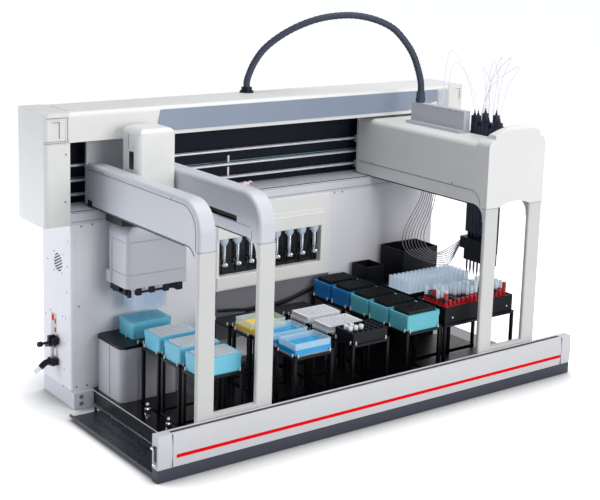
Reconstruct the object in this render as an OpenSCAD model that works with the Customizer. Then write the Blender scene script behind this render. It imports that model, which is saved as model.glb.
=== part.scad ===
// Dual-arm liquid handling robot: a deck workstation with a 96-channel arm
// on the left and an 8-probe arm on the right. Millimetres, +Z up, +Y to the
// back, origin on the floor under the middle of the machine.

/* [Overall] */
// Width over the two end caps of the bridge
overall_w = 1556; // [1540:1:1600]
// Depth from the front beam to the back panel
overall_d = 750; // [740:1:790]
// Height of the bridge cover's top
overall_h = 849; // [840:1:880]

/* [Housing] */
// Front face of the rear housing, behind the beam's front
housing_y = 572; // [565:1:580]
// Height of the base under the side panels
base_h = 47; // [44:1:50]
// Top edge of the housing's front panels
panel_top = 531; // [520:1:545]
// Sheet metal thickness
sheet = 3; // [2:0.5:4]
// Width of the round corner posts
post_w = 15; // [12:1:18]

/* [Bridge] */
// Lower edge of the bridge cover, the top of the opening
opening_top = 765; // [760:1:770]
// Floor of the opening, where the arms' rails are
opening_floor = 568; // [562:1:569]
// Wall of the moulded bridge cover
cover_wall = 4; // [3:0.5:6]
// Width of the left end cap
cap_left_w = 78; // [70:1:84]
// Width of the right end cap
cap_right_w = 68; // [60:1:76]
// How far the bridge stands out over the housing's right side
overhang = 118; // [90:1:124]

/* [Deck] */
// Top of the deck plates
deck_z = 45; // [43:1:46]
// Thickness of a deck plate
deck_t = 5; // [4:0.5:6]
// Number of deck plates side by side
deck_count = 5; // [3:1:8]
// How far the deck's left edge is inside the housing's left side
deck_inset = 63; // [56:1:70]

/* [Front beam] */
// How far the beam's ends are inside the bridge's ends
beam_inset = 29; // [24:1:34]
// Bottom of the beam, the top of the skirt
beam_z0 = 34; // [30:1:40]
// Top of the beam
beam_z1 = 124; // [118:1:126]
// Depth of the beam
beam_d = 31; // [28:1:32]
// Width of each beam end cap
beam_cap_w = 42; // [36:1:50]

/* [Arms] */
// Middle of the left arm
left_x = -500; // [-510:1:-495]
// Middle of the right arm
right_x = 491; // [486:1:494]
// Width of each arm
arm_w = 236; // [230:2:240]
// Width of one arch of the left arm and of each leg
leg_w = 53; // [50:1:54]
// Thickness of a leg
leg_t = 15; // [12:1:18]
// Front face of the arms' legs, behind the beam's front
arm_y0 = 35; // [34:1:38]
// Lower edge of the arms' covers
arm_z0 = 571; // [569:1:574]
// Top of the left arm's arches
arch_top = 690; // [680:1:700]
// Top of the right arm's shroud
shroud_top = 757; // [750:1:760]
// Top of the right arm's front cover
crest_top = 806; // [800:1:812]
// Radius of the arches' front corner
arch_r = 80; // [70:1:90]
// Wall of the arms' moulded covers
arm_wall = 4; // [3:0.5:5]

/* [96-channel head] */
// Width of the head
head_w = 198; // [190:2:204]
// Depth of the head
head_d = 114; // [108:2:116]
// Middle of the head, behind the beam's front
head_y = 491; // [488:1:494]
// Underside of the head's cover
head_z = 366; // [360:1:372]
// Top of the Z tower between the arches
tower_top = 811; // [800:1:820]
// Lower ends of the pipette tips
tip_z = 284; // [280:1:290]

/* [8-probe pod] */
// Distance between probes
probe_pitch = 15.3; // [15:0.1:16.5]
// Front probe, behind the beam's front
probe_y = 116; // [112:1:118]
// Lower ends of the probes
probe_z = 312; // [308:1:318]

/* [Labware] */
// Length of a labware footprint
plate_l = 127.8; // [127:0.1:128]
// Width of a labware footprint
plate_w = 85.5; // [85:0.1:86]
// Level on which the labware stands
stand_z = 208; // [204:1:210]
// Height of a tip box
box_h = 48; // [44:1:52]
// Distance between the standing positions, front to back
stand_pitch = 108; // [104:1:110]
// Distance between the boxes in the packed row
row_pitch = 92.9; // [90:0.1:94]
// Width of a tube rack
rack_l = 284; // [276:1:290]
// Depth of a tube rack
rack_w = 131; // [126:1:134]

/* [Hidden] */
$fn = 48;

clear = 0.3;                        // running clearance
front = -overall_d / 2;             // plane of the beam's front
half_w = overall_w / 2;
housing_left = half_w - cap_left_w; // left side of the rear housing, left of the middle
housing_right = half_w - overhang;  // right side of the rear housing
house_d = overall_d - housing_y;
house_w = housing_left + housing_right;
panel_h = panel_top - base_h;
deck_left = housing_left - deck_inset;
beam_left = half_w - beam_inset;
beam_right = beam_left - 3;
tray_len = 458;

rail_y = overall_d - 78;            // front of the bridge's rails
rail_h = 10;
rail_d = 18;
rail_zs = [opening_floor + 23.5, opening_floor + 64.5, opening_floor + 108.5];
track_w = overall_w - cap_left_w - cap_right_w;
recess_x = half_w - 123;            // left edge of the recess by the right end cap
arm_y1 = rail_y - 36;               // back end of the arms' covers

bay_x0 = -218;                      // the pumps' bay in the housing
bay_x1 = 215;
bay_z0 = 267;
window_x0 = -208;
window_x1 = 182;
window_z0 = 310;
window_z1 = 483;
pump_count = 8;
pump_pitch = 49;
pump_x0 = -183;
pump_y = housing_y + 24;            // front of the plate that carries the pumps
syringe_y = pump_y - 14;
plunger_r = 2.7;

arch_out = left_x - arm_w / 2;      // left face of the left arm
shroud_out = right_x - arm_w / 2;   // left face of the right arm
leg_gap = arm_w - 2 * leg_w;        // free width between a pair of legs
leg_z0 = 100;
leg_z1 = arm_z0 - 7;                // seam between a leg and its cover
inner_r = 40;                       // fillet between a leg and the arm's underside
edge_r = 10;                        // rounding of the arches' edges
seam = 1.2;
carriage_t = 10;
cover_y1 = 88;                      // back of the right arm's front cover

column_w = 44;                      // pillar that carries the head
saddle_z1 = arm_z0 - 6 - clear;
saddle_h = 20;
column_y = head_y - 1;
head_top = saddle_z1 - saddle_h - 3.7;
tips_y = head_y + 14;               // middle of the 96 channels
tip_pitch = 9;
jaw_reach = 92;
jaw_h = 30;

roof_z = shroud_top - 18;           // underside of the right arm's roof
slot_x0 = right_x - 15;             // slot in the shroud for the probes
slot_w = 32;
slot_y1 = 458;
duct_w = 26;
duct_x0 = slot_x0 - duct_w - 2;
duct_y0 = 224;
duct_y1 = 468;
duct_top = shroud_top + 67;
ledge_h = 9;
guide_z0 = 357;
guide_z1 = 430;
guide_step = 37;                    // height of the guide's narrow lower part
probe_span = 7 * probe_pitch;
guide_y0 = probe_y - 9;
guide_y1 = guide_y0 + probe_span + 25;
shaft_r = 3;
probe_tops = [811, 833, 790, 807, 833, 793, 822, 821];

col1 = left_x - plate_l / 2;        // left edges of the labware columns
col2 = -264;
col3 = -61;
col4 = 142;
col5 = 291;
row0 = 98;
rack_pitch = 166;
box_y = tips_y - plate_w / 2;       // front of the box under the head
loader_x = left_x - 125;
loader_y0 = head_y - 71;
loader_w = 192;
loader_d = 146;
loader_t = 8;
bin_h = 291;
small_bin_h = 246;
box_wall = 2.5;
rack_h = 51;
tubes_x = 15;
tubes_y = 6;
tube_pitch = 17.5;
vial_pitch = 19.5;
vial_r = 7;

// Route of the umbilical hose, from the bridge's gland to the duct box
HOSE = [[-22, 340, 862], [-22, 340, 882], [-17, 337, 904], [-3, 329, 942], [22, 315, 984],
  [60, 293, 1022], [108, 266, 1055], [162, 235, 1080], [217, 204, 1093], [272, 173, 1095],
  [327, 141, 1083], [376, 113, 1057], [411, 93, 1016], [435, 80, 975], [450, 71, 930],
  [459, 66, 892], [461, 65, 870], [461, 65, 848]];
hose_r = 11;
hose_end = HOSE[len(HOSE) - 1];

// Foot and crest of each loop of thin line above the probes
comb_z = guide_z1 + 360;
foot_z = comb_z + clear;
LOOPS = [[[503, 215, foot_z], [507, 66, 976]], [[503, 203, foot_z], [503, 96, 1000]],
  [[503, 191, foot_z], [499, 128, 999]], [[503, 179, foot_z], [495, 168, 940]],
  [[503, 155, foot_z], [491, 195, 960]], [[503, 140, foot_z], [489, 150, 985]],
  [[461, 316, duct_top + clear], [476, 300, 966]], [[461, 332, duct_top + clear], [479, 325, 1001]]];

module at(x, y, z) translate([x, front + y, z]) children();

module rrect(w, d, r) {
  translate([r, 0]) square([w - 2 * r, d]);
  translate([0, r]) square([w, d - 2 * r]);
  for (x = [r, w - r], y = [r, d - r]) translate([x, y]) circle(r);
}

// Box with round vertical edges
module rbox(w, d, h, r) linear_extrude(h) rrect(w, d, r);

// A rectangle whose two upper corners are round
module dome(w, h, r, fn = 48) {
  square([w, h - r]);
  translate([r, 0]) square([w - 2 * r, h]);
  for (x = [r, w - r]) translate([x, h - r]) circle(r, $fn = fn);
}

// Extrudes a profile drawn in Y (first) and Z (second) along X
module along_x(w) rotate([90, 0, 90]) linear_extrude(w) children();

// Extrudes a profile drawn in X (first) and Z (second) along Y
module along_y(d) translate([0, d, 0]) rotate([90, 0, 0]) linear_extrude(d) children();

// ---------------------------------------------------------------- base
module base_frame() color([0.87, 0.87, 0.87]) {
  deck_w = deck_left + housing_right;
  tray_d = housing_y - beam_d;
  tray_h = deck_z - deck_t;
  rim = 14;
  difference() {
    at(-deck_left, beam_d, 0) cube([deck_w, tray_d, tray_h]);
    for (i = [0 : deck_count - 1])
      at(-deck_left + rim + i * (deck_w - rim) / deck_count, beam_d + rim, 6)
        cube([(deck_w - rim) / deck_count - rim, tray_d - 2 * rim, tray_h]);
  }
  // edge bars beside the deck plates
  for (x = [-deck_left - 4, housing_right - 4]) at(x, beam_d, 6) cube([4, tray_d, deck_z - 6]);
  // plinth under the housing, with a notch at its left front corner
  notch = 36;
  difference() {
    union() {
      at(-deck_left, housing_y, 0) cube([deck_w, house_d, base_h]);
      at(-housing_left, housing_y + notch, 0) cube([100, house_d - notch, base_h]);
    }
    at(-housing_left + 30, housing_y + 60, 8) cube([house_w - 60, house_d - 80, base_h]);
  }
  // foot block with two round sockets
  foot_y = housing_y - 21;
  difference() {
    at(-housing_left - 2, foot_y, 0) cube([deck_inset + 2, 57, base_h]);
    for (z = [13, 33])
      at(-housing_left + 22, foot_y - 1, z) rotate([-90, 0, 0]) cylinder(r = 7, h = 26);
  }
}

module deck_plates() color([0.13, 0.14, 0.16]) {
  pitch = (deck_left + housing_right - 4) / deck_count;
  for (i = [0 : deck_count - 1])
    at(-deck_left + i * pitch + 1, beam_d + 2, deck_z - deck_t)
      rbox(pitch - 2, housing_y - beam_d - 4, deck_t, 3);
}

module side_tray() color([0.35, 0.36, 0.38]) {
  tray_x = -beam_left + 2;
  at(tray_x, beam_d, 10) cube([beam_left - 6 - deck_left, tray_len, 4]);
  at(tray_x, beam_d, 14) cube([3, tray_len, 4]);
  // rod on two posts
  for (y = [beam_d + 20, beam_d + tray_len - 20]) at(-deck_left - 40, y, 14) cylinder(r = 4, h = 22);
  at(-deck_left - 40, beam_d + 10, 36) rotate([-90, 0, 0]) cylinder(r = 4, h = tray_len - 20);
}

// ---------------------------------------------------------------- front beam
module beam_profile() {
  h = beam_z1 - beam_z0;
  bulge = 4;
  r = (h * h / 4 + bulge * bulge) / (2 * bulge);
  intersection() {
    square([beam_d, h]);
    translate([r, h / 2]) circle(r, $fn = 360);
  }
}

module front_beam() color([0.85, 0.86, 0.86]) difference() {
  w = beam_left + beam_right - 2 * beam_cap_w;
  at(-beam_left + beam_cap_w, 0, beam_z0) along_x(w) beam_profile();
  at(-beam_left, 11, beam_z1 - 9) cube([beam_left + beam_right, 12, 10]);
}

module beam_caps() color([0.82, 0.83, 0.84])
  for (x = [-beam_left, beam_right - beam_cap_w]) difference() {
    at(x, 0, beam_z0) along_x(beam_cap_w) beam_profile();
    at(x + 8, beam_d - 12, beam_z0 + 8) cube([beam_cap_w - 16, 13, beam_z1 - beam_z0 - 16]);
  }

module front_skirt() color([0.26, 0.28, 0.33])
  at(-beam_left, 4, 0) cube([beam_left + beam_right, beam_d - 4, beam_z0]);

// ---------------------------------------------------------------- housing
module vent_slots(r) {
  pitch = 8;
  count = floor(r / pitch);
  intersection() {
    rotate([0, 90, 0]) cylinder(r = r, h = 4 * sheet, center = true);
    rotate([-25, 0, 0]) for (i = [-count : count])
      translate([-2 * sheet, -r, i * pitch - 2]) cube([4 * sheet, 2 * r, 4]);
  }
}

module corner_post() {
  r = 7;
  difference() {
    union() {
      translate([r, 0]) square([post_w - r, post_w]);
      translate([0, r]) square([r, post_w - r]);
      translate([r, r]) circle(r);
    }
    translate([sheet, sheet + r]) square(post_w);
  }
}

module side_panels() color([0.9, 0.91, 0.92]) {
  y0 = housing_y + post_w;
  d = overall_d - y0 - sheet;
  difference() {
    at(-housing_left, y0, base_h) cube([sheet, d, panel_h]);
    at(-housing_left, housing_y + 0.45 * house_d, 409) vent_slots(26);
    at(-housing_left - 1, well_y, 185) cube([sheet + 2, 31, 66]);
  }
  at(housing_right - sheet, y0, base_h) cube([sheet, d, panel_h]);
  for (s = [0, 1]) translate([s == 0 ? -housing_left : housing_right, 0, 0]) mirror([s, 0, 0])
    at(0, housing_y, base_h) linear_extrude(panel_h) corner_post();
}

module front_panels() color([0.8, 0.8, 0.83]) {
  x0 = -housing_left + post_w;
  x1 = housing_right - post_w;
  at(x0, housing_y, base_h) cube([bay_x0 - x0, sheet, panel_h]);
  at(bay_x1, housing_y, base_h) cube([x1 - bay_x1, sheet, panel_h]);
  at(bay_x0, pump_y - sheet, base_h) cube([bay_x1 - bay_x0, sheet, bay_z0 - base_h]);
}

module back_panel() color([0.85, 0.85, 0.86])
  at(-housing_left, overall_d - sheet, base_h) cube([house_w, sheet, panel_h]);

// ---------------------------------------------------------------- syringe pumps
module pump_frame() color([0.93, 0.93, 0.92]) difference() {
  at(bay_x0, housing_y - 2, bay_z0)
    cube([bay_x1 - bay_x0, pump_y - housing_y + 2, panel_top - bay_z0]);
  at(window_x0, housing_y - 3, window_z0)
    cube([window_x1 - window_x0, pump_y, window_z1 - window_z0]);
}

module each_pump() for (i = [0 : pump_count - 1]) at(pump_x0 + i * pump_pitch, 0, 0) children();

module pump_plate() color([0.05, 0.05, 0.06]) difference() {
  at(bay_x0, pump_y, bay_z0) cube([bay_x1 - bay_x0, 4, window_z1 + 20 - bay_z0]);
  each_pump() translate([-3, pump_y - 1, window_z0 + 6]) cube([6, 6, 62]);
}

module syringe_bodies() color([0.75, 0.85, 0.92]) each_pump() {
  translate([-9, syringe_y, 412]) cube([18, pump_y - syringe_y, 14]);
  translate([0, syringe_y, 412]) cylinder(r = 9, h = 14);
  translate([0, syringe_y, 426]) cylinder(r1 = 7, r2 = 12, h = 14);
  translate([0, syringe_y, 440]) cylinder(r = 12, h = 4);
  translate([0, syringe_y, 362]) difference() {
    cylinder(r = 4.5, h = 50);
    translate([0, 0, -1]) cylinder(r = plunger_r + clear, h = 49);
  }
}

module syringe_plungers() color([0.9, 0.9, 0.92]) {
  arm_z = 342;
  each_pump() {
    translate([0, syringe_y, arm_z + 8]) cylinder(r = plunger_r, h = 52);
    translate([0, syringe_y, arm_z - 2]) cylinder(r = 6.5, h = 10);
    translate([-2.5, syringe_y, arm_z]) cube([5, pump_y + 6 - syringe_y, 6]);
  }
  // lift bar behind the plate
  at(pump_x0 - 12, pump_y + 4 + clear, arm_z - 6) cube([7 * pump_pitch + 24, 6, 18]);
}

// ---------------------------------------------------------------- services
well_y = overall_d - 81;            // front of the recess in the left side
switch_x = -housing_left + 10;
switch_y = well_y + 15.5;
switch_z = 226;
well_w = 16;
well_h = 29;

module power_switch() color([0.08, 0.08, 0.09]) at(switch_x, switch_y, switch_z)
  along_x(6) square([well_w - 2 * clear, well_h - 3], center = true);

// Gland on the bridge that the umbilical leaves by
module hose_gland() {
  h = HOSE[0][2] - overall_h;
  translate([HOSE[0][0], HOSE[0][1], overall_h]) difference() {
    union() {
      cylinder(r = 22, h = 6);
      cylinder(r = 17, h = h + 4);
    }
    translate([0, 0, h]) cylinder(r = hose_r + clear, h = 20);
  }
}

// Gland, inlet panel in the side recess, and the two couplings below it
module hose_fittings() color([0.15, 0.16, 0.2]) {
  hose_gland();
  difference() {
    at(-housing_left + sheet, well_y - 5, 180) cube([22, 41, 76]);
    at(-housing_left, well_y, 185) cube([12, 31, 66]);
    at(-housing_left, switch_y - well_w / 2, switch_z - well_h / 2) cube([22, well_w, well_h]);
    at(-housing_left, well_y + 5, 190) cube([20, 21, 17]);
  }
  for (p = [[13, 160], [28, 101]]) at(-housing_left, well_y + p[0], p[1]) rotate([0, -90, 0]) {
    cylinder(r = 10, h = 12);
    translate([0, 0, 12]) cylinder(r = 7, h = 14);
    translate([0, 0, 4]) cylinder(r = 13, h = 5);
  }
}

// ---------------------------------------------------------------- bridge
module top_shelf() color([0.78, 0.79, 0.81]) {
  at(-housing_left, housing_y, panel_top) cube([track_w, house_d, opening_floor - panel_top]);
  at(-housing_left, rail_y + rail_d + 2, opening_floor) cube([track_w, 4, 12]);
}

module rail_plate() color([0.1, 0.11, 0.14])
  at(-housing_left, rail_y + rail_d, opening_floor)
    cube([track_w, 2, opening_top - opening_floor - 3]);

module x_rails() color([0.75, 0.77, 0.8]) for (z = rail_zs)
  at(-housing_left + 1, rail_y, z - rail_h / 2) difference() {
    cube([track_w - 2, rail_d, rail_h]);
    for (s = [-1, rail_h - 3]) translate([-1, 6, s]) cube([track_w, 5, 4]);
  }

module bridge_cover() color([0.92, 0.92, 0.9]) {
  h = overall_h - opening_top;
  r = 14;
  inner = house_d - 2 * cover_wall;
  difference() {
    at(-half_w + cap_left_w, housing_y, 0) along_x(overall_w - cap_left_w - cap_right_w) {
      difference() {
        translate([0, opening_top]) dome(house_d, h, r);
        translate([cover_wall, opening_top - 1]) square([inner, h - r]);
        translate([r, opening_top - 1]) square([house_d - 2 * r, h - cover_wall + 1]);
      }
      translate([house_d - cover_wall, opening_floor])
        square([cover_wall, opening_top - opening_floor + 1]);
    }
    // recess between the band and the right end cap
    at(recess_x, housing_y - 1, opening_top + 6) cube([53, 3, h - 14]);
  }
}

module end_cap(w) {
  h = overall_h - panel_top;
  difference() {
    linear_extrude(h) {
      rrect(w, house_d, 16);
      translate([w - 16, 0]) square([16, house_d]);
    }
    // hollow towards the bridge
    translate([cover_wall, cover_wall, cover_wall]) linear_extrude(h - 2 * cover_wall) {
      rrect(w, house_d - 2 * cover_wall, 12);
      translate([w - 16, 0]) square([16, house_d - 2 * cover_wall]);
    }
    // inset panel on the front
    translate([13, -1, h - 92]) cube([w - 26, 2.5, 76]);
  }
}

module bridge_caps() color([0.9, 0.9, 0.9]) {
  at(-half_w, housing_y, panel_top) end_cap(cap_left_w);
  translate([half_w, 0, 0]) mirror([1, 0, 0]) at(0, housing_y, panel_top) end_cap(cap_right_w);
}

module bridge_band() color([0.56, 0.61, 0.68]) {
  x0 = -half_w + 362;
  x1 = recess_x - 2;
  z0 = opening_top + 11;
  z1 = overall_h - 10;
  at(0, housing_y - 1.5, 0) along_y(1.5)
    polygon([[x0, z1], [x0 + 62, z0], [x1 - 122, z0], [x1, z0 + 24], [x1, z1]]);
}

// ---------------------------------------------------------------- tubes
function unit(v) = v / norm(v);
function tangent(p, i) = unit(p[min(i + 1, len(p) - 1)] - p[max(i - 1, 0)]);
function frames(p, i, u) = i >= len(p) ? [] :
  let (t = tangent(p, i), w = unit(u - (u * t) * t))
  concat([[p[i], w, cross(t, w)]], frames(p, i + 1, w));
function ring(q, r, n) = [for (k = [0 : n - 1])
  q[0] + r * cos(360 * k / n) * q[1] + r * sin(360 * k / n) * q[2]];

// Sweeps an n-sided tube along a route whose first stretch is upright
module tube(p, r, n) {
  m = len(p);
  pts = [for (q = frames(p, 0, [1, 0, 0])) each ring(q, r, n)];
  walls = [for (i = [0 : m - 2], k = [0 : n - 1])
    [(i + 1) * n + k, (i + 1) * n + (k + 1) % n, i * n + (k + 1) % n, i * n + k]];
  foot = [for (k = [0 : n - 1]) k];
  top = [for (k = [0 : n - 1]) m * n - 1 - k];
  polyhedron(pts, concat(walls, [foot, top]), convexity = 8);
}

module umbilical_hose() color([0.22, 0.25, 0.33]) tube(HOSE, hose_r, 12);

// First and last of the lines that sag from the right arm's roof to the probe guide
SAG_1 = [[437, 388, roof_z - clear], [437, 388, 540], [432, 444, 487], [432, 469, 416],
  [437, 451, 362], [447, 368, 330], [460, 279, 329], [474, guide_y1 + 1.3, 399]];
SAG_8 = [[447, 336, roof_z - clear], [447, 336, 549], [444, 372, 500], [444, 389, 431],
  [447, 377, 387], [455, 328, 365], [464, 274, 385], [486, guide_y1 + 1.3, 420]];
function sag(i) = let (k = (i - 1) / 7)
  [for (j = [0 : 7]) (1 - k) * SAG_1[j] + k * SAG_8[j] + [0, front, 0]];

// A line that loops over a probe, down to the nozzle on its top
function loop(i) = let (a = LOOPS[i - 1][0], t = LOOPS[i - 1][1],
    e = [right_x, probe_at(i), probe_tops[i - 1] + 4 + clear])
  [for (p = [a, a + [0, 0.3 * (t[1] - a[1]), 0.62 * (t[2] - a[2])], t,
    e + [0.3 * (t[0] - e[0]), 0.4 * (t[1] - e[1]), 0.6 * (t[2] - e[2])], e]) p + [0, front, 0]];

module fluid_lines() color([0.8, 0.83, 0.88]) {
  for (i = [1 : 8]) tube(sag(i), 1.5, 6);
  for (i = [1 : 8]) tube(loop(i), 1, 6);
}

// ---------------------------------------------------------------- labware and stands
module stand(l, w, posts = 2) {
  post = 9;
  edge = 4;
  top = 8;
  foot = 6;
  translate([-edge, -edge, stand_z - top]) cube([l + 2 * edge, w + 2 * edge, top]);
  for (i = [0 : posts - 1], y = [-edge, w + edge - post])
    translate([-edge + i * (l + 2 * edge - post) / (posts - 1), y, deck_z + foot + clear])
      cube([post, post, stand_z - top - deck_z - foot - 2 * clear]);
  translate([-6, -edge, deck_z]) cube([l + 12, w + 2 * edge, foot]);
}

module deck_stands() color([0.1, 0.1, 0.12]) {
  for (i = [0 : 2]) at(col1, row0 + 2 + i * stand_pitch, 0) stand(plate_l, plate_w);
  for (x = [col2, col3], i = [0 : 3]) at(x, row0 + i * stand_pitch, 0) stand(plate_l, plate_w);
  at(col4, row0, 0) stand(plate_l, 4 * row_pitch + plate_w);
  for (i = [0, 1]) at(col5, row0 + i * rack_pitch, 0) stand(rack_l, rack_w, 3);
}

module tip_loader() color([0.76, 0.76, 0.79]) difference() {
  at(loader_x, loader_y0, deck_z) rbox(loader_w, loader_d, stand_z - loader_t - deck_z, 20);
  // groove down the left side
  at(loader_x - 1, loader_y0 + 62, deck_z + 8) cube([4, 4, stand_z]);
}

module loader_plate() color([0.14, 0.15, 0.18])
  at(loader_x - 2, loader_y0 - 2, stand_z - loader_t) rbox(loader_w + 4, loader_d + 4, loader_t, 22);

module box_shell(h) {
  translate([1.5, 1.5, 0]) rbox(plate_l - 3, plate_w - 3, h - 14, 5);
  translate([0, 0, h - 14]) rbox(plate_l, plate_w, 14, 6);
}

// Places its child on each of the 96 positions of a plate
module grid96() for (i = [0 : 11], j = [0 : 7])
  translate([plate_l / 2 + (i - 5.5) * tip_pitch, plate_w / 2 + (j - 3.5) * tip_pitch, 0])
    children();

module open_box(h) difference() {
  box_shell(h);
  translate([7, 7, 4]) cube([plate_l - 14, plate_w - 14, h]);
}

module tip_racks() {
  color([0.45, 0.76, 0.85]) {
    at(col1, box_y, stand_z) difference() {
      box_shell(box_h);
      translate([0, 0, 3]) grid96() cylinder(r = 3.6, h = box_h, $fn = 16);
    }
    for (i = [0 : 2]) at(col1, row0 + 2 + i * stand_pitch, stand_z) open_box(box_h);
  }
  for (i = [0 : 4]) color(i > 2 ? [0.05, 0.35, 0.6] : [0.25, 0.6, 0.65])
    at(col4, row0 + i * row_pitch, stand_z) open_box(box_h + 2);
}

// Full trays of tips, one to a box
module tip_tray(h) translate([8, 8, 4]) cube([plate_l - 16, plate_w - 16, h - 4]);

module tip_tops() {
  color([0.93, 0.95, 0.96]) for (i = [0 : 2])
    at(col1, row0 + 2 + i * stand_pitch, stand_z) tip_tray(box_h + 2);
  color([0.06, 0.06, 0.07]) for (i = [0 : 4])
    at(col4, row0 + i * row_pitch, stand_z) tip_tray(box_h + 12);
}

module reservoirs() for (i = [0 : 2]) color(i == 2 ? [0.95, 0.8, 0.1] : [0.6, 0.83, 0.93])
  at(col2, row0 + i * stand_pitch, stand_z) difference() {
    union() {
      rbox(plate_l, plate_w, 4, 4);
      translate([2, 2, 4]) rbox(plate_l - 4, plate_w - 4, 33, 4);
    }
    translate([2 + box_wall, 2 + box_wall, 3])
      rbox(plate_l - 4 - 2 * box_wall, plate_w - 4 - 2 * box_wall, 40, 3);
  }

module microplates() color([0.94, 0.94, 0.95]) for (i = [1, 2])
  at(col3, row0 + i * stand_pitch, stand_z) difference() {
    union() {
      rbox(plate_l, plate_w, 8, 3);
      translate([2, 2, 8]) rbox(plate_l - 4, plate_w - 4, 14, 3);
    }
    translate([0, 0, 11]) grid96() cylinder(r = 3.4, h = 20, $fn = 16);
  }

// Places its child at each position of the small rack
module each_vial() for (i = [0 : 5], j = [0 : 3])
  translate([plate_l / 2 + (i - 2.5) * vial_pitch, plate_w / 2 + (j - 1.5) * vial_pitch, 4])
    children();

module tube_racks() color([0.1, 0.1, 0.12]) {
  for (i = [0, 1]) at(col5, row0 + i * rack_pitch, stand_z) difference() {
    rbox(rack_l, rack_w, rack_h, 4);
    translate([5, 5, 6]) cube([rack_l - 10, rack_w - 10, rack_h]);
  }
  at(col3, row0, stand_z) difference() {
    rbox(plate_l, plate_w, 32, 4);
    each_vial() cylinder(r = vial_r + clear, h = 32, $fn = 24);
  }
}

// Tubes of the two long racks, held by a sieve plate, and the small rack's vials
module sample_tubes() color([0.8, 0.88, 0.94]) {
  for (r = [0, 1]) at(col5, row0 + r * rack_pitch, stand_z + 6) {
    translate([6, 6, 36]) cube([rack_l - 12, rack_w - 12, 6]);
    for (i = [0 : tubes_x - 1], j = [0 : tubes_y - 1])
      translate([rack_l / 2 + (i - (tubes_x - 1) / 2) * tube_pitch,
        rack_w / 2 + (j - (tubes_y - 1) / 2) * tube_pitch, 0]) cylinder(r = 7, h = 84, $fn = 14);
  }
  at(col3, row0, stand_z) each_vial() cylinder(r = vial_r, h = 31, $fn = 24);
}

module open_bin(w, d, h) difference() {
  rbox(w, d, h, 5);
  translate([4, 4, 5]) cube([w - 8, d - 8, h]);
}

module deck_bins() color([0.12, 0.12, 0.15]) {
  at(right_x - 68, 448, deck_z) open_bin(154, 114, bin_h);
  at(right_x - 191, 480, deck_z) open_bin(74, 80, small_bin_h);
}

// ---------------------------------------------------------------- left arm
// Side view of the free space behind a leg and under its arm
module under_arm() {
  y_in = arm_y0 + leg_t;
  translate([y_in + inner_r, arm_z0 - inner_r]) circle(inner_r, $fn = 96);
  translate([y_in + inner_r, leg_z0]) square([arm_y1, arm_z0 - leg_z0]);
  translate([y_in, leg_z0]) square([arm_y1, arm_z0 - inner_r - leg_z0]);
}

// Side outline of an arch: a long bar whose front turns down into the leg
module arch_outline() difference() {
  union() {
    translate([arm_y0 + arch_r, arm_z0]) square([arm_y1 - arm_y0 - arch_r, arch_top - arm_z0]);
    translate([arm_y0, leg_z1]) square([arch_r, arch_top - arch_r - leg_z1]);
    translate([arm_y0 + arch_r, arch_top - arch_r]) circle(arch_r, $fn = 96);
  }
  under_arm();
  translate([arm_y0, leg_z1 - arch_r]) square([2 * arch_r, arch_r]);
}

// Fine seam that follows the arch's edge
module arch_seam() {
  inset = leg_t;
  r = arch_r - inset;
  translate([arm_y0 + arch_r, arch_top - inset - seam]) square([arm_y1, seam]);
  translate([arm_y0 + inset, arm_z0 + 6]) square([seam, arch_top - arch_r - arm_z0 - 6]);
  translate([arm_y0 + arch_r, arch_top - arch_r]) intersection() {
    difference() {
      circle(r, $fn = 96);
      circle(r - seam, $fn = 96);
    }
    translate([-arch_r, 0]) square(arch_r);
  }
}

// The arch's rounded bulk: bar, turned corner and top of the leg
module arch_bulk() {
  e = edge_r;
  at(0, arm_y0 + arch_r, leg_z1 - 1) along_y(arm_y1 - arm_y0 - arch_r)
    dome(leg_w, arch_top - leg_z1 + 1, e);
  at(0, arm_y0 + arch_r, arch_top - arch_r) rotate([0, 90, 0]) rotate([0, 0, 180])
    rotate_extrude(angle = 90, $fn = 96) {
      square([arch_r - e, leg_w]);
      translate([0, e]) square([arch_r, leg_w - 2 * e]);
      for (z = [e, leg_w - e]) translate([arch_r - e, z]) circle(e, $fn = 48);
    }
  at(0, arm_y0, leg_z1 - 1) linear_extrude(arch_top - arch_r - leg_z1 + 1) {
    translate([0, e]) square([leg_w, arch_r - e]);
    translate([e, 0]) square([leg_w - 2 * e, arch_r]);
    for (x = [e, leg_w - e]) translate([x, e]) circle(e);
  }
}

module arch_cover() difference() {
  intersection() {
    arch_bulk();
    at(-1, 0, 0) along_x(leg_w + 2) arch_outline();
  }
  at(arm_wall, arm_y0 + arch_r, arm_z0 - 1)
    cube([leg_w - 2 * arm_wall, arm_y1, arch_top - arm_z0 - 6]);
  for (x = [-0.2, leg_w - 0.8]) at(x, 0, 0) along_x(1) arch_seam();
}

module left_arches() color([0.88, 0.88, 0.89]) {
  translate([arch_out, 0, 0]) arch_cover();
  x1 = arch_out + arm_w - leg_w;
  difference() {
    translate([x1, 0, 0]) arch_cover();
    // slot in the inner side
    at(x1 - 1, 142, arm_z0 + 30) cube([arm_wall + 2, 148, 17]);
  }
}

module legs(x0) {
  for (x = [x0, x0 + arm_w - leg_w]) {
    at(x, arm_y0, leg_z0) rbox(leg_w, leg_t, leg_z1 - leg_z0, 5);
    // top of the leg, which widens into the arm
    at(x, 0, 0) along_x(leg_w) difference() {
      translate([arm_y0 + 5, leg_z1 - inner_r]) square([leg_t + 30, inner_r]);
      under_arm();
    }
  }
  // foot bar behind the beam
  at(x0 + 6, arm_y0 + 1, leg_z0) cube([arm_w - 12, leg_t - 2, 34]);
}

module left_legs() color([0.9, 0.9, 0.88]) legs(arch_out);

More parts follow.
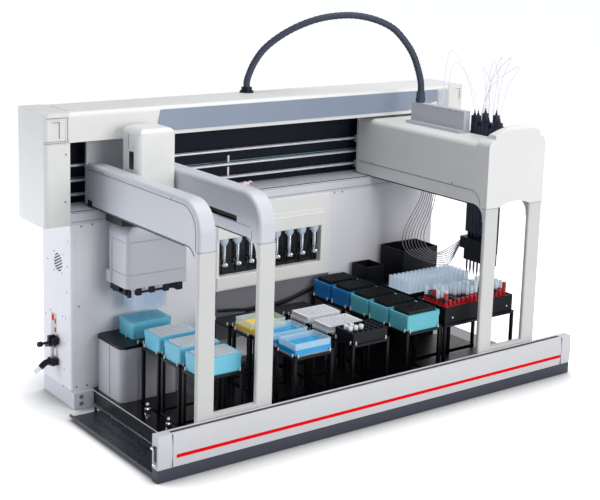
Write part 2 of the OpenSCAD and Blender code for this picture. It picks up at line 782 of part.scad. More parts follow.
module left_rails() color([0.1, 0.1, 0.12])
  for (x = [arch_out, arch_out + arm_w - leg_w])
    at(x + arm_wall + clear, arm_y0 + arch_r, arm_z0 - 6) {
      w = leg_w - 2 * arm_wall - 2 * clear;
      cube([w, housing_y - 6 - arm_y0 - arch_r, 14]);
      translate([6, 0, 14]) cube([w - 12, arm_y1 - arm_y0 - arch_r, 84]);
    }

// Plate behind an arm with four shoes that clasp the bridge's rails
module carriage(x0, top) {
  shoe_w = 60;
  shoe_h = 22;
  shoe_d = rail_y + 12 - arm_y1 - carriage_t;
  z0 = arm_z0 + 3;
  at(x0, arm_y1, z0) cube([arm_w, carriage_t, top - z0]);
  for (z = [rail_zs[0], rail_zs[2]], x = [x0 + 20, x0 + arm_w - 20 - shoe_w])
    at(x, arm_y1 + carriage_t, z - shoe_h / 2) difference() {
      cube([shoe_w, shoe_d, shoe_h]);
      translate([-1, shoe_d - 12 - clear, (shoe_h - rail_h) / 2 - clear])
        cube([shoe_w + 2, 20, rail_h + 2 * clear]);
    }
}

module left_carriage() color([0.72, 0.73, 0.75]) carriage(arch_out, shroud_top);

module z_tower() color([0.88, 0.88, 0.89]) {
  w = leg_gap - 10;
  d = 104;
  h = tower_top - saddle_z1;
  at(left_x - w / 2, column_y - d / 2, saddle_z1) difference() {
    intersection() {
      rbox(w, d, h, 18);
      along_y(d) dome(w, h, 30, 72);
      along_x(w) dome(d, h, 24, 72);
    }
    translate([w / 2 - 26, d / 2 - 26, -1]) cube([52, 52, h - 12]);
    // slot in the left side
    translate([-1, 30, h - 110]) cube([6, 4, 60]);
  }
}

module pod_saddle() color([0.2, 0.21, 0.24]) difference() {
  hole = column_w + 2 * clear;
  at(arch_out + 8, column_y - 46, saddle_z1 - saddle_h) cube([arm_w - 16, 92, saddle_h]);
  at(left_x - hole / 2, column_y - hole / 2, saddle_z1 - saddle_h - 1)
    cube([hole, hole, saddle_h + 2]);
}

module head_cover() color([0.87, 0.87, 0.89]) {
  h = head_top - head_z;
  back = 84;
  flare = 4;
  at(left_x - head_w / 2, head_y - head_d / 2, head_z) difference() {
    union() {
      intersection() {
        rbox(head_w, head_d, h, 16);
        along_y(head_d) dome(head_w, h, 38, 96);
        along_x(head_w) dome(head_d, h, 26, 96);
      }
      // wider foot of the back shell
      translate([-flare, back + 4, 0]) rbox(head_w + 2 * flare, head_d - back, 36, 6);
    }
    // groove between the front and back shells
    for (x = [-1, head_w - 2]) translate([x, back, -1]) cube([3, 3, 133]);
    // seams round the shell
    for (z = [40, 132]) translate([0, 0, z]) difference() {
      translate([-1, -1, 0]) cube([head_w + 2, head_d + 2, seam]);
      translate([1, 1, -1]) rbox(head_w - 2, head_d - 2, seam + 2, 15);
    }
    // well for the mandrel plate
    translate([head_w / 2 - 62, head_d / 2 - 23, -1]) cube([124, 74, 14]);
  }
}

module head_column() color([0.7, 0.71, 0.73])
  at(left_x - column_w / 2, column_y - column_w / 2, head_top)
    cube([column_w, column_w, tower_top - head_top - 30]);

module tip_head() color([0.3, 0.33, 0.38])
  at(left_x - 61, tips_y - 36, head_z - 8) cube([122, 72, 21]);

module pipette_tips() color([0.75, 0.8, 0.86])
  at(left_x - plate_l / 2, tips_y - plate_w / 2, tip_z) {
    h = head_z - 8 - tip_z;
    grid96() cylinder(r1 = 0.8, r2 = 2.8, h = h, $fn = 14);
  }

module jaw() {
  z0 = -jaw_h;
  translate([0, -40, -22]) difference() {
    cube([18, 84, 22]);
    translate([-1, 12, 6]) cube([20, 24, 10]);
  }
  translate([13, -46, z0]) cube([5, 92, 10]);
  for (y = [-46, 38]) translate([8, y, z0]) cube([10, 8, jaw_h]);
}

module jaw_left() color([0.07, 0.07, 0.08])
  at(left_x - jaw_reach, head_y + 7, head_z - clear) jaw();

module jaw_right() color([0.07, 0.07, 0.08])
  at(left_x + jaw_reach, head_y + 7, head_z - clear) mirror([1, 0, 0]) jaw();

// ---------------------------------------------------------------- right arm
module right_shroud() color([0.86, 0.86, 0.88]) {
  h = shroud_top - arm_z0;
  e = shroud_top - roof_z;
  d = arm_y1 - cover_y1;
  at(shroud_out, cover_y1, arm_z0) difference() {
    along_y(d) dome(arm_w, h, e);
    translate([arm_wall, -1, -1]) cube([arm_w - 2 * arm_wall, d + 2, h - e + 1]);
    translate([slot_x0 - shroud_out, -1, 0]) cube([slot_w, slot_y1 - cover_y1, h + 1]);
    for (x = [-1, arm_w - 0.8]) translate([x, -1, 40]) cube([1.8, d + 2, seam]);
  }
}

module front_outline() {
  w = arm_w;
  e = 24;
  rise = 40;
  z_corner = shroud_top + 12;
  r = (w * w / 4 + rise * rise) / (2 * rise);
  arch = 160;
  difference() {
    intersection() {
      union() {
        translate([0, leg_z1]) dome(w, z_corner - leg_z1, e);
        translate([e, leg_z1]) square([w - 2 * e, crest_top - leg_z1]);
      }
      translate([w / 2, crest_top - r]) circle(r, $fn = 180);
    }
    // shallow arch between the legs
    intersection() {
      translate([w / 2, leg_z1 + 14 - arch]) circle(arch, $fn = 180);
      translate([leg_w, leg_z1 - 1]) square([w - 2 * leg_w, 40]);
    }
  }
}

// Side outline: round front edge, crest, and a concave sweep down to the shroud
module front_side() {
  d = cover_y1 - arm_y0;
  h = crest_top - leg_z1;
  r = 16;
  sweep = 48;
  difference() {
    translate([0, leg_z1]) dome(2 * d, h, r);
    translate([d, leg_z1 - 1]) square([2 * d, h + 2]);
    translate([leg_t + 50, crest_top + 6]) circle(sweep, $fn = 96);
    translate([-arm_y0, 0]) under_arm();
  }
}

module right_front_cover() color([0.92, 0.92, 0.9]) difference() {
  intersection() {
    at(shroud_out, arm_y0, 0) along_y(cover_y1 - arm_y0) front_outline();
    at(shroud_out - 1, arm_y0, 0) along_x(arm_w + 2) front_side();
  }
  at(shroud_out + arm_wall, arm_y0 + leg_t + 6, arm_z0 + 14)
    cube([arm_w - 2 * arm_wall, cover_y1, shroud_top - arm_z0 - 32]);
}

module right_legs() color([0.92, 0.92, 0.9]) legs(shroud_out);

module right_rails() color([0.1, 0.1, 0.12]) {
  l = arm_y1 - cover_y1;
  rail_w = 22;
  inner = shroud_out + arm_w - arm_wall - clear - rail_w;
  for (x = [shroud_out + arm_wall + clear, inner]) at(x, cover_y1, arm_z0) cube([rail_w, l, 60]);
  at(slot_x0 + slot_w + 4, cover_y1 + 4, 640) cube([10, l - 4, 24]);
}

module right_carriage() color([0.72, 0.73, 0.75]) carriage(shroud_out, shroud_top);

module duct_box() color([0.7, 0.71, 0.75]) {
  h = duct_top - shroud_top;
  at(duct_x0, duct_y0, shroud_top) rbox(duct_w, duct_y1 - duct_y0, h, 3);
  // ledge along the foot
  at(duct_x0 - 20, duct_y0, shroud_top) cube([22, duct_y1 - duct_y0, ledge_h]);
  translate([hose_end[0], hose_end[1], duct_top]) difference() {
    cylinder(r = 13, h = hose_end[2] - duct_top + 4);
    translate([0, 0, hose_end[2] - duct_top]) cylinder(r = hose_r + clear, h = 20);
  }
}

function probe_at(i) = probe_y + (i - 1) * probe_pitch;

module probe_pod() color([0.12, 0.13, 0.16]) {
  difference() {
    union() {
      at(right_x - 21, guide_y0, guide_z0 + guide_step)
        rbox(36, guide_y1 - guide_y0, guide_z1 - guide_z0 - guide_step, 3);
      at(right_x - 11, guide_y0, guide_z0) rbox(24, guide_y1 - guide_y0 - 9, guide_step, 3);
    }
    for (i = [1 : 8]) at(right_x, probe_at(i), guide_z0 - 1) cylinder(r = shaft_r + clear, h = 80);
  }
  // back plate that rises through the slot, and its slider
  at(right_x + 9, guide_y0 + 1, guide_z1) cube([6, probe_span + 14, comb_z - guide_z1]);
  at(right_x + 15, guide_y0 + 20, 636)
    cube([slot_x0 + slot_w + 4 - clear - right_x - 15, probe_span - 24, 32]);
}

module probe(i) {
  top = probe_tops[i - 1];
  block_z0 = 446;
  color([0.2, 0.22, 0.28]) at(right_x, probe_at(i), 0) {
    translate([-8, -6.5, block_z0]) cube([16, 13, top - 10 - block_z0]);
    translate([0, 0, top - 10]) cylinder(r = 4, h = 6);
    translate([0, 0, top - 4]) cylinder(r = 2, h = 8);
    translate([0, 0, probe_z + 18]) cylinder(r = shaft_r, h = block_z0 - probe_z - 18);
    translate([0, 0, probe_z]) cylinder(r1 = 1, r2 = shaft_r, h = 18);
  }
}

base_frame();
deck_plates();
side_tray();
front_beam();
beam_caps();
front_skirt();
side_panels();
front_panels();
back_panel();
pump_frame();
pump_plate();
syringe_bodies();
syringe_plungers();
power_switch();
hose_fittings();
top_shelf();
rail_plate();
x_rails();
bridge_cover();
bridge_caps();
bridge_band();
umbilical_hose();
tip_loader();
loader_plate();
deck_stands();
tip_racks();
tip_tops();
reservoirs();
microplates();
tube_racks();
sample_tubes();
deck_bins();
left_arches();
left_legs();
left_rails();
left_carriage();
z_tower();
pod_saddle();
head_cover();
head_column();
tip_head();
pipette_tips();
jaw_left();
jaw_right();
right_shroud();
right_front_cover();
right_legs();
right_rails();
right_carriage();
duct_box();
probe_pod();
probe(1);  // probe_1
probe(2);  // probe_2
probe(3);  // probe_3
probe(4);  // probe_4
probe(5);  // probe_5
probe(6);  // probe_6
probe(7);  // probe_7
probe(8);  // probe_8
fluid_lines();
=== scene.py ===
import math
import random

import bpy
from mathutils import Matrix, Vector


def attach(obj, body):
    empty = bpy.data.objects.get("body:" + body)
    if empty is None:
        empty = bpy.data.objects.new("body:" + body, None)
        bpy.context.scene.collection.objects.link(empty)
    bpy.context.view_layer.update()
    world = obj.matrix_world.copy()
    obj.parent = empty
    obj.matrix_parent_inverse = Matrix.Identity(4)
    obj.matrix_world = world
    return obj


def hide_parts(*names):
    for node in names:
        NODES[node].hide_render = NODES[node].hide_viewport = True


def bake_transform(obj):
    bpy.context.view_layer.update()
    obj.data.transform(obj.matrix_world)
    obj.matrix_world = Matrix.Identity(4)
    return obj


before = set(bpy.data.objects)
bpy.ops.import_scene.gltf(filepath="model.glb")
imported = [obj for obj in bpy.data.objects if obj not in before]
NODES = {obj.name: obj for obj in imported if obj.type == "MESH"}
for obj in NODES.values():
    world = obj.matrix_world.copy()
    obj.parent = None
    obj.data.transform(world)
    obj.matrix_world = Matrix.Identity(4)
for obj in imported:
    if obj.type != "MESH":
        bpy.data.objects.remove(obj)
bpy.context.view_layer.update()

# Sizes in millimetres, measured from the front of the beam as in the CAD
HALF_D = 375
PLINTH_Y = 550.5                                    # front of the pale plinth behind the deck
STAND_Z = 208                                       # top of the deck stands
PLATE_L, PLATE_W = 127.8, 85.5                      # footprint of plates and tip boxes
COL1, COL2, COL3, COL4, COL5 = -563.9, -264, -61, 142, 291
ROW0 = 98
STAND_PITCH = 108
ROW_PITCH = 92.9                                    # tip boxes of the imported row
BLUE_ROW = 3                                        # its boxes are blue from this one on
RACK_L, RACK_W, RACK_PITCH = 284, 131, 166          # racks of the long sample tubes
WELL_PITCH, TUBE_PITCH, VIAL_PITCH = 9, 17.5, 19.5
LOADER_Y = 462.25
PROBES = 8
PROBE_X = 491
WALL_Y = 572.2                                      # marks on the housing's front end here
SHELF_X0, SHELF_X1, RAIL_X1 = -698, 656, 708        # ends of the shelf and of the rails
LEFT_OUT, LEFT_IN = -618, -435                      # left faces of the left arm's arches
RIGHT_OUT, RIGHT_IN = 373, 556                      # left faces of the right arm's legs
ROOT = "workstation"


def at(x, y, z):
    """A point of the CAD, in metres in the row frame."""
    return Vector((x / 1000, (y - HALF_D) / 1000, z / 1000))


def lin(r, g, b):
    """A screen colour from 0 to 255 as the linear colour that a shader takes."""
    def one(v):
        v /= 255
        return v / 12.92 if v <= 0.04045 else ((v + 0.055) / 1.055) ** 2.4
    return one(r), one(g), one(b), 1.0


# ---------------------------------------------------------------- camera
FOCAL_PX, FRAME_PX, SENSOR = 1266.5, 600, 36
CENTRE_ABOVE_PX = 90
CAM_AT = (-2239.4, -2540.7, 1375.7)
YAW, PITCH, ROLL = map(math.radians, (36.78, -10.61, 1.65))


def make_camera():
    """The camera fitted to the photo."""
    data = bpy.data.cameras.new("camera")
    data.sensor_width = SENSOR
    data.lens = FOCAL_PX * SENSOR / FRAME_PX
    data.shift_y = -CENTRE_ABOVE_PX / FRAME_PX
    cam = bpy.data.objects.new("camera", data)
    d = Vector((math.sin(YAW) * math.cos(PITCH), math.cos(YAW) * math.cos(PITCH), math.sin(PITCH)))
    r = Vector((math.cos(YAW), -math.sin(YAW), 0))
    u = r.cross(d)
    right = math.cos(ROLL) * r + math.sin(ROLL) * u
    up = -math.sin(ROLL) * r + math.cos(ROLL) * u
    m = Matrix((right, up, -d)).transposed().to_4x4()
    m.translation = at(*CAM_AT)
    cam.matrix_world = m
    bpy.context.scene.collection.objects.link(cam)
    bpy.context.scene.camera = cam


make_camera()
bpy.context.scene.view_settings.view_transform = "Standard"


# ---------------------------------------------------------------- materials
class Shader:
    """A node material built up by short calls."""

    def __init__(self, name):
        self.mat = bpy.data.materials.new(name)
        self.mat.use_nodes = True
        self.tree = self.mat.node_tree
        self.bsdf = self.tree.nodes["Principled BSDF"]
        self.coord = self.new("ShaderNodeTexCoord").outputs["Object"]

    def new(self, kind, **settings):
        node = self.tree.nodes.new(kind)
        for key, value in settings.items():
            if key in node.inputs:
                node.inputs[key].default_value = value
            else:
                setattr(node, key, value)
        return node

    def link(self, a, b):
        self.tree.links.new(a, b)

    def noise(self, scale, detail=3, rough=0.5):
        node = self.new("ShaderNodeTexNoise", Scale=scale, Detail=detail, Roughness=rough)
        self.link(self.coord, node.inputs["Vector"])
        return node.outputs["Fac"]

    def ramp(self, fac, stops):
        node = self.new("ShaderNodeValToRGB")
        ramp = node.color_ramp
        while len(ramp.elements) < len(stops):
            ramp.elements.new(0.5)
        for element, (pos, colour) in zip(ramp.elements, stops):
            element.position = pos
            element.color = colour
        self.link(fac, node.inputs["Fac"])
        return node.outputs["Color"]

    def clouded(self, fac, dark, pale):
        """Patches between two near colours, set by a noise that stays about one half."""
        return self.ramp(fac, [(0.3, dark), (0.7, pale)])

    def spread(self, fac, low, high):
        node = self.new("ShaderNodeMapRange")
        node.inputs["To Min"].default_value = low
        node.inputs["To Max"].default_value = high
        self.link(fac, node.inputs["Value"])
        return node.outputs["Result"]

    def bump(self, fac, strength, distance):
        node = self.new("ShaderNodeBump", Strength=strength, Distance=distance)
        self.link(fac, node.inputs["Height"])
        self.link(node.outputs["Normal"], self.bsdf.inputs["Normal"])

    def axis(self, name):
        node = self.new("ShaderNodeSeparateXYZ")
        self.link(self.coord, node.inputs[0])
        return node.outputs[name]

    def math(self, op, a, b):
        node = self.new("ShaderNodeMath", operation=op)
        for socket, value in zip(node.inputs, (a, b)):
            if isinstance(value, (int, float)):
                socket.default_value = value
            else:
                self.link(value, socket)
        return node.outputs[0]

    def mix(self, fac, a, b):
        node = self.new("ShaderNodeMix", data_type="RGBA")
        self.link(fac, node.inputs[0])
        for socket, value in ((node.inputs[6], a), (node.inputs[7], b)):
            if isinstance(value, tuple):
                socket.default_value = value
            else:
                self.link(value, socket)
        return node.outputs[2]


def shade(colour, k):
    return colour[0] * k, colour[1] * k, colour[2] * k, 1.0


def surface(name, colour, rough=0.45, metal=0.0, vary=0.05, cloud=6, grain=900, bump=0.05,
            depth=0.0002, alpha=None, coat=0.0, glow=0.0, spec=0.5):
    """Moulded, painted or machined surface: clouded colour, uneven gloss and a fine grain; glow
    adds painted light.
    """
    s = Shader(name)
    dark, pale = shade(colour, 1 - vary), shade(colour, 1 + vary / 2)
    patches = s.clouded(s.noise(cloud, 4, 0.6), dark, pale)
    s.link(patches, s.bsdf.inputs["Base Color"])
    gloss = s.spread(s.noise(cloud * 9, 2), max(rough - 0.08, 0.02), rough + 0.08)
    s.link(gloss, s.bsdf.inputs["Roughness"])
    s.bump(s.noise(grain, 2), bump, depth)
    s.bsdf.inputs["Metallic"].default_value = metal
    s.bsdf.inputs["Coat Weight"].default_value = coat
    s.bsdf.inputs["Specular IOR Level"].default_value = spec
    if alpha is not None:
        s.bsdf.inputs["Alpha"].default_value = alpha
    # glow is painted light: an emission that brightens a part that is no lamp
    if glow:
        s.bsdf.inputs["Emission Color"].default_value = colour
        s.bsdf.inputs["Emission Strength"].default_value = glow
    return s.mat


WHITE = surface("white_shell", lin(236, 236, 232), rough=0.4, vary=0.03)
LEG = surface("white_leg", lin(217, 217, 214), rough=0.42, vary=0.03)
ARCH = surface("arch_shell", lin(214, 216, 222), rough=0.4, vary=0.03)
BEAM = surface("beam_enamel", lin(213, 214, 216), rough=0.38, vary=0.03)
PANEL = surface("panel_paint", lin(235, 234, 238), rough=0.5, vary=0.04, bump=0.12)
HEAD_SHELL = surface("head_shell", lin(202, 203, 210), rough=0.42, vary=0.04)
SHELF = surface("shelf_paint", lin(216, 218, 222), rough=0.45, vary=0.04)
LOADER = surface("loader_shell", lin(190, 190, 195), rough=0.45)
DUCT = surface("duct_shell", lin(196, 197, 204), rough=0.45)
BAND = surface("blue_band", lin(143, 155, 173), rough=0.35, vary=0.04)
SKIRT = surface("skirt", lin(50, 54, 68), rough=0.5)
DECK = surface("deck_black", lin(10, 11, 16), rough=0.14, vary=0.2, bump=0.03)
INTERIOR = surface("interior", lin(15, 20, 34), rough=0.7, vary=0.25, spec=0.22)
GLOSS_BLACK = surface("pump_black", lin(9, 10, 14), rough=0.25)
BLACK = surface("black_anodised", lin(24, 25, 30), rough=0.4, vary=0.15, spec=0.22)
STAND = surface("stand_black", lin(9, 10, 14), rough=0.38, vary=0.15, spec=0.22)
RACK = surface("rack_black", lin(13, 14, 20), rough=0.5, vary=0.15, spec=0.22)
SMOKY = surface("smoky_sheet", lin(52, 55, 64), rough=0.25, alpha=0.84)
RAIL = surface("rail_metal", lin(236, 238, 242), rough=0.35, metal=0.25, vary=0.03, bump=0.0)
STEEL = surface("steel", lin(214, 216, 220), rough=0.2, metal=1.0, cloud=30)
CHROME = surface("chrome", lin(235, 236, 238), rough=0.08, metal=1.0)
HEAD = surface("mandrel_plate", lin(96, 102, 116), rough=0.35, metal=0.7)
SLATE = surface("probe_slate", lin(60, 64, 80), rough=0.35, metal=0.4, vary=0.12, spec=0.22)
POD = surface("guide_black", lin(26, 28, 36), rough=0.4, vary=0.15, spec=0.22)
RED_LINE = surface("channel_red", lin(112, 84, 92), rough=0.6, vary=0.15)
RED = surface("red_line", lin(236, 0, 14), rough=0.75, vary=0.02, spec=0.1)
HOSE = surface("hose_rubber", lin(52, 58, 76), rough=0.55, vary=0.15, bump=0.2)
# Painted light: the fluid lines glow so that they read pale
LINE = surface("clear_line", lin(224, 224, 228), rough=0.3, alpha=0.85, glow=0.25)
SAG_LINE = surface("filled_line", lin(150, 146, 152), rough=0.2, alpha=0.9)
CARRIAGE = surface("carriage_paint", lin(206, 207, 213), rough=0.42, vary=0.04)
SEAM = surface("seam_shadow", lin(120, 122, 134), rough=0.7, vary=0.1)
DARK_SEAM = surface("dark_gap", lin(30, 32, 42), rough=0.7, vary=0.15)
CHANNEL = surface("beam_channel", lin(112, 116, 130), rough=0.5, vary=0.12)
# Painted shade: grey for the shadowed recess under the pumps
BAY_SHADE = surface("painted_bay_shade", lin(118, 118, 124), rough=0.6, vary=0.15)
TEAL = surface("teal_strip", lin(104, 150, 160), rough=0.4, vary=0.1)
# Painted highlight: the blue gleam along the arch's lower edge
EDGE_BLUE = surface("edge_gleam", lin(96, 118, 140), rough=0.4, vary=0.1)
SOFT_SEAM = surface("soft_seam", lin(158, 160, 172), rough=0.7, vary=0.08)
BEIGE = surface("inlet_plate", lin(206, 198, 196), rough=0.5, vary=0.06)
SCREW = surface("screw_zinc", lin(146, 148, 158), rough=0.4, metal=0.4, cloud=60)
PIN = surface("white_pin", lin(232, 226, 222), rough=0.3)
TIP_WHITE = surface("tip_white", lin(236, 240, 244), rough=0.3)
TIP_BLACK = surface("tip_black", lin(14, 15, 18), rough=0.35, vary=0.3)
# Painted light: the clear tips, glass tubes and trough glow so that they read bright
TIP_CLEAR = surface("tip_clear", lin(214, 228, 244), rough=0.15, alpha=0.7, glow=0.12)
GLASS = surface("tube_glass", lin(226, 238, 248), rough=0.1, alpha=0.5, coat=0.6, glow=0.12)
TROUGH = surface("trough_plastic", lin(206, 232, 242), rough=0.15, alpha=0.4, coat=0.3, glow=0.1)
PLATE = surface("microplate", lin(238, 238, 242), rough=0.3)
BLUE_LIQUID = surface("blue_liquid", lin(0, 158, 222), rough=0.08, vary=0.08)
YELLOW_LIQUID = surface("yellow_liquid", lin(250, 206, 24), rough=0.1, vary=0.08)
TUBE_RED = surface("tube_red", lin(206, 28, 38), rough=0.3, vary=0.25, cloud=40)
CAP_BLACK = surface("cap_black", lin(18, 16, 20), rough=0.35)


def box_shader():
    """Tip boxes: pale cyan in the left column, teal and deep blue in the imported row."""
    s = Shader("tip_boxes")
    x, y = s.axis("X"), s.axis("Y")
    blue_from = (ROW0 + BLUE_ROW * ROW_PITCH - 3 - HALF_D) / 1000
    clouds = s.noise(8, 3)
    cyan = s.clouded(clouds, lin(112, 204, 230), lin(120, 210, 234))
    teal = s.clouded(clouds, lin(92, 188, 202), lin(102, 196, 210))
    blue = s.clouded(clouds, lin(26, 122, 196), lin(34, 132, 206))
    packed = s.mix(s.math("GREATER_THAN", y, blue_from), teal, blue)
    s.link(s.mix(s.math("GREATER_THAN", x, 0.0), cyan, packed), s.bsdf.inputs["Base Color"])
    s.link(s.spread(s.noise(6, 2), 0.3, 0.34), s.bsdf.inputs["Roughness"])
    s.bump(s.noise(700, 2), 0.02, 0.0001)
    return s.mat


def base_shader():
    """Base: a black pan under the deck, the plinth behind it painted like the housing."""
    s = Shader("base_paint")
    clouds = s.noise(6, 3)
    pale = s.clouded(clouds, lin(208, 210, 216), lin(216, 218, 223))
    dark = s.clouded(clouds, lin(20, 21, 27), lin(28, 30, 36))
    behind = s.math("GREATER_THAN", s.axis("Y"), (PLINTH_Y - HALF_D) / 1000)
    s.link(s.mix(behind, dark, pale), s.bsdf.inputs["Base Color"])
    s.link(s.spread(s.noise(50, 2), 0.4, 0.55), s.bsdf.inputs["Roughness"])
    s.bump(s.noise(800, 2), 0.05, 0.0002)
    return s.mat


BOXES = box_shader()
BASE = base_shader()

NODE_LOOKS = {
    "base_frame": BASE, "deck_plates": DECK, "side_tray": SMOKY, "front_beam": BEAM,
    "beam_caps": BEAM, "front_skirt": SKIRT, "side_panels": PANEL, "front_panels": PANEL,
    "back_panel": PANEL, "pump_frame": WHITE, "pump_plate": GLOSS_BLACK,
    "syringe_bodies": GLASS, "syringe_plungers": STEEL, "power_switch": BLACK,
    "hose_fittings": BLACK, "top_shelf": SHELF, "rail_plate": INTERIOR, "x_rails": RAIL,
    "bridge_cover": WHITE, "bridge_caps": WHITE, "bridge_band": BAND, "tip_loader": LOADER,
    "loader_plate": STAND, "deck_stands": STAND, "tip_racks": BOXES, "tip_tops": TIP_WHITE,
    "reservoirs": TROUGH, "microplates": PLATE, "tube_racks": RACK, "sample_tubes": GLASS,
    "deck_bins": RACK, "left_arches": ARCH, "left_legs": LEG, "left_rails": BLACK,
    "left_carriage": CARRIAGE, "z_tower": WHITE, "pod_saddle": BLACK, "head_cover": HEAD_SHELL,
    "head_column": RAIL, "tip_head": HEAD, "pipette_tips": TIP_CLEAR, "jaw_left": BLACK,
    "jaw_right": BLACK, "right_shroud": WHITE, "right_front_cover": WHITE, "right_legs": LEG,
    "right_rails": BLACK, "right_carriage": CARRIAGE, "duct_box": DUCT, "probe_pod": POD,
    "umbilical_hose": HOSE, "fluid_lines": LINE,
}
NODE_LOOKS.update({f"probe_{i}": SLATE for i in range(1, 9)})
FINE = {"tube_racks", "syringe_bodies", "tip_tops"}
SHARP = {"tip_racks", "reservoirs", "pipette_tips", "sample_tubes", "microplates", "fluid_lines",
         "umbilical_hose"}
EDGE, FINE_EDGE = 0.0009, 0.0004                    # bevels of the CAD nodes, in metres
WELD = 0.00001


def dress(name, look):
    """Gives a CAD node its material and softly rounded edges."""
    obj = NODES[name]
    obj.data.materials.clear()
    obj.data.materials.append(look)
    obj.modifiers.new("weld", "WELD").merge_threshold = WELD
    if name not in SHARP:
        bevel = obj.modifiers.new("edges", "BEVEL")
        bevel.width = FINE_EDGE if name in FINE else EDGE
        bevel.segments = 2
        bevel.limit_method = "ANGLE"
        bevel.angle_limit = math.radians(40)
        bevel.harden_normals = False
    obj.modifiers.new("normals", "WEIGHTED_NORMAL").keep_sharp = True


for node_name, node_look in NODE_LOOKS.items():
    dress(node_name, node_look)


# ---------------------------------------------------------------- mesh helpers
def piece(name, verts, faces, look, body, smooth=False):
    mesh = bpy.data.meshes.new(name)
    mesh.from_pydata([tuple(v) for v in verts], [], faces)
    mesh.validate()
    for polygon in mesh.polygons:
        polygon.use_smooth = smooth
    obj = bpy.data.objects.new(name, mesh)
    bpy.context.scene.collection.objects.link(obj)
    mesh.materials.append(look)
    if body:
        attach(obj, body)
    return obj


BOX_FACES = ((0, 2, 3, 1), (4, 5, 7, 6), (0, 1, 5, 4), (2, 6, 7, 3), (0, 4, 6, 2), (1, 3, 7, 5))


def boxes(name, spans, look, body, bevel=0.5):
    """Rounded boxes, each from (x0, y0, z0) to (x1, y1, z1) in CAD millimetres."""
    verts, faces = [], []
    for lo, hi in spans:
        a, b, n = at(*lo), at(*hi), len(verts)
        verts += [(x, y, z) for z in (a.z, b.z) for y in (a.y, b.y) for x in (a.x, b.x)]
        faces += [[n + i for i in face] for face in BOX_FACES]
    obj = piece(name, verts, faces, look, body)
    if bevel:
        mod = obj.modifiers.new("edges", "BEVEL")
        mod.width = bevel / 1000
        mod.segments = 2
    return obj


def wall_marks(name, spans, look, y0=571.2, y1=WALL_Y):
    """Flat marks on a wall that faces the front, each (x0, z0, x1, z1)."""
    boxes(name, [((x0, y0, z0), (x1, y1, z1)) for x0, z0, x1, z1 in spans], look, ROOT, bevel=0)


def turned(name, profile, places, look, body, sides=14, axis="Z", closed=True):
    """The same turned piece at many places: profile is (radius, height) in millimetres."""
    verts, faces = [], []
    for place in places:
        origin, n = at(*place), len(verts)
        for r, h in profile:
            for k in range(sides):
                a = 2 * math.pi * k / sides
                c, s = r * math.cos(a) / 1000, r * math.sin(a) / 1000
                up = h / 1000
                offset = {"Z": (c, s, up), "Y": (c, up, -s), "X": (up, c, s)}[axis]
                verts.append(origin + Vector(offset))
        for i in range(len(profile) - 1):
            for k in range(sides):
                q = (k + 1) % sides
                faces.append([n + i * sides + k, n + i * sides + q,
                              n + (i + 1) * sides + q, n + (i + 1) * sides + k])
        if closed:
            faces.append([n + k for k in reversed(range(sides))])
            faces.append([n + (len(profile) - 1) * sides + k for k in range(sides)])
    obj = piece(name, verts, faces, look, body, smooth=True)
    obj.modifiers.new("split", "EDGE_SPLIT").split_angle = math.radians(45)
    return obj


def smooth_route(points, per=8):
    """Catmull-Rom points through the route, in metres."""
    p = [at(*q) for q in points]
    p = [2 * p[0] - p[1]] + p + [2 * p[-1] - p[-2]]
    out = []
    for i in range(1, len(p) - 2):
        for k in range(per):
            t = k / per
            out.append(0.5 * (2 * p[i] + (p[i + 1] - p[i - 1]) * t
                              + (2 * p[i - 1] - 5 * p[i] + 4 * p[i + 1] - p[i + 2]) * t * t
                              + (3 * p[i] - p[i - 1] - 3 * p[i + 1] + p[i + 2]) * t ** 3))
    return out + [p[-2]]


def tube(name, path, radius, look, body, sides=12, ribs=0.0):
    """A round tube along a path in metres; ribs deepens every other ring, in millimetres."""
    verts, faces = [], []
    side = Vector((1, 0, 0))
    for i, p in enumerate(path):
        t = (path[min(i + 1, len(path) - 1)] - path[max(i - 1, 0)]).normalized()
        side = (side - side.dot(t) * t).normalized()
        other = t.cross(side)
        r = (radius - (ribs if i % 2 else 0)) / 1000
        for k in range(sides):
            a = 2 * math.pi * k / sides
            verts.append(p + r * math.cos(a) * side + r * math.sin(a) * other)
    for i in range(len(path) - 1):
        for k in range(sides):
            q = (k + 1) % sides
            faces.append([i * sides + k, i * sides + q, (i + 1) * sides + q, (i + 1) * sides + k])
    faces.append([k for k in reversed(range(sides))])
    faces.append([(len(path) - 1) * sides + k for k in range(sides)])
    return piece(name, verts, faces, look, body, smooth=True)


# ---------------------------------------------------------------- hoses
HOSE_ROUTE = [(-22, 715, 862), (-22, 715, 882), (-17, 712, 904), (-3, 704, 942), (22, 690, 984),
              (60, 668, 1022), (108, 641, 1055), (162, 610, 1080), (217, 579, 1093),
              (272, 548, 1095), (327, 516, 1083), (376, 488, 1057), (411, 468, 1016),
              (435, 455, 975), (450, 446, 930), (459, 441, 892), (461, 440, 870), (461, 440, 848)]
HOSE_R, SAG_R, LOOP_R = 11, 1.2, 0.9
SHROUD_ROOF = 738.7
DUCT_TOP = 824.3
COMB_Z = 790.3
PROBE_Y, PROBE_PITCH = 116, 15.3
PROBE_TOPS = (811, 833, 790, 807, 833, 793, 822, 821)
FERRULE = 4.3                                       # a loop ends this far above its probe
LOOPS = [((503, 215, COMB_Z), (507, 66, 976)), ((503, 203, COMB_Z), (503, 96, 1000)),
         ((503, 191, COMB_Z), (499, 128, 999)), ((503, 179, COMB_Z), (495, 168, 940)),
         ((503, 155, COMB_Z), (491, 195, 960)), ((503, 140, COMB_Z), (489, 150, 985)),
         ((461, 316, DUCT_TOP), (476, 300, 966)), ((461, 332, DUCT_TOP), (479, 325, 1001))]
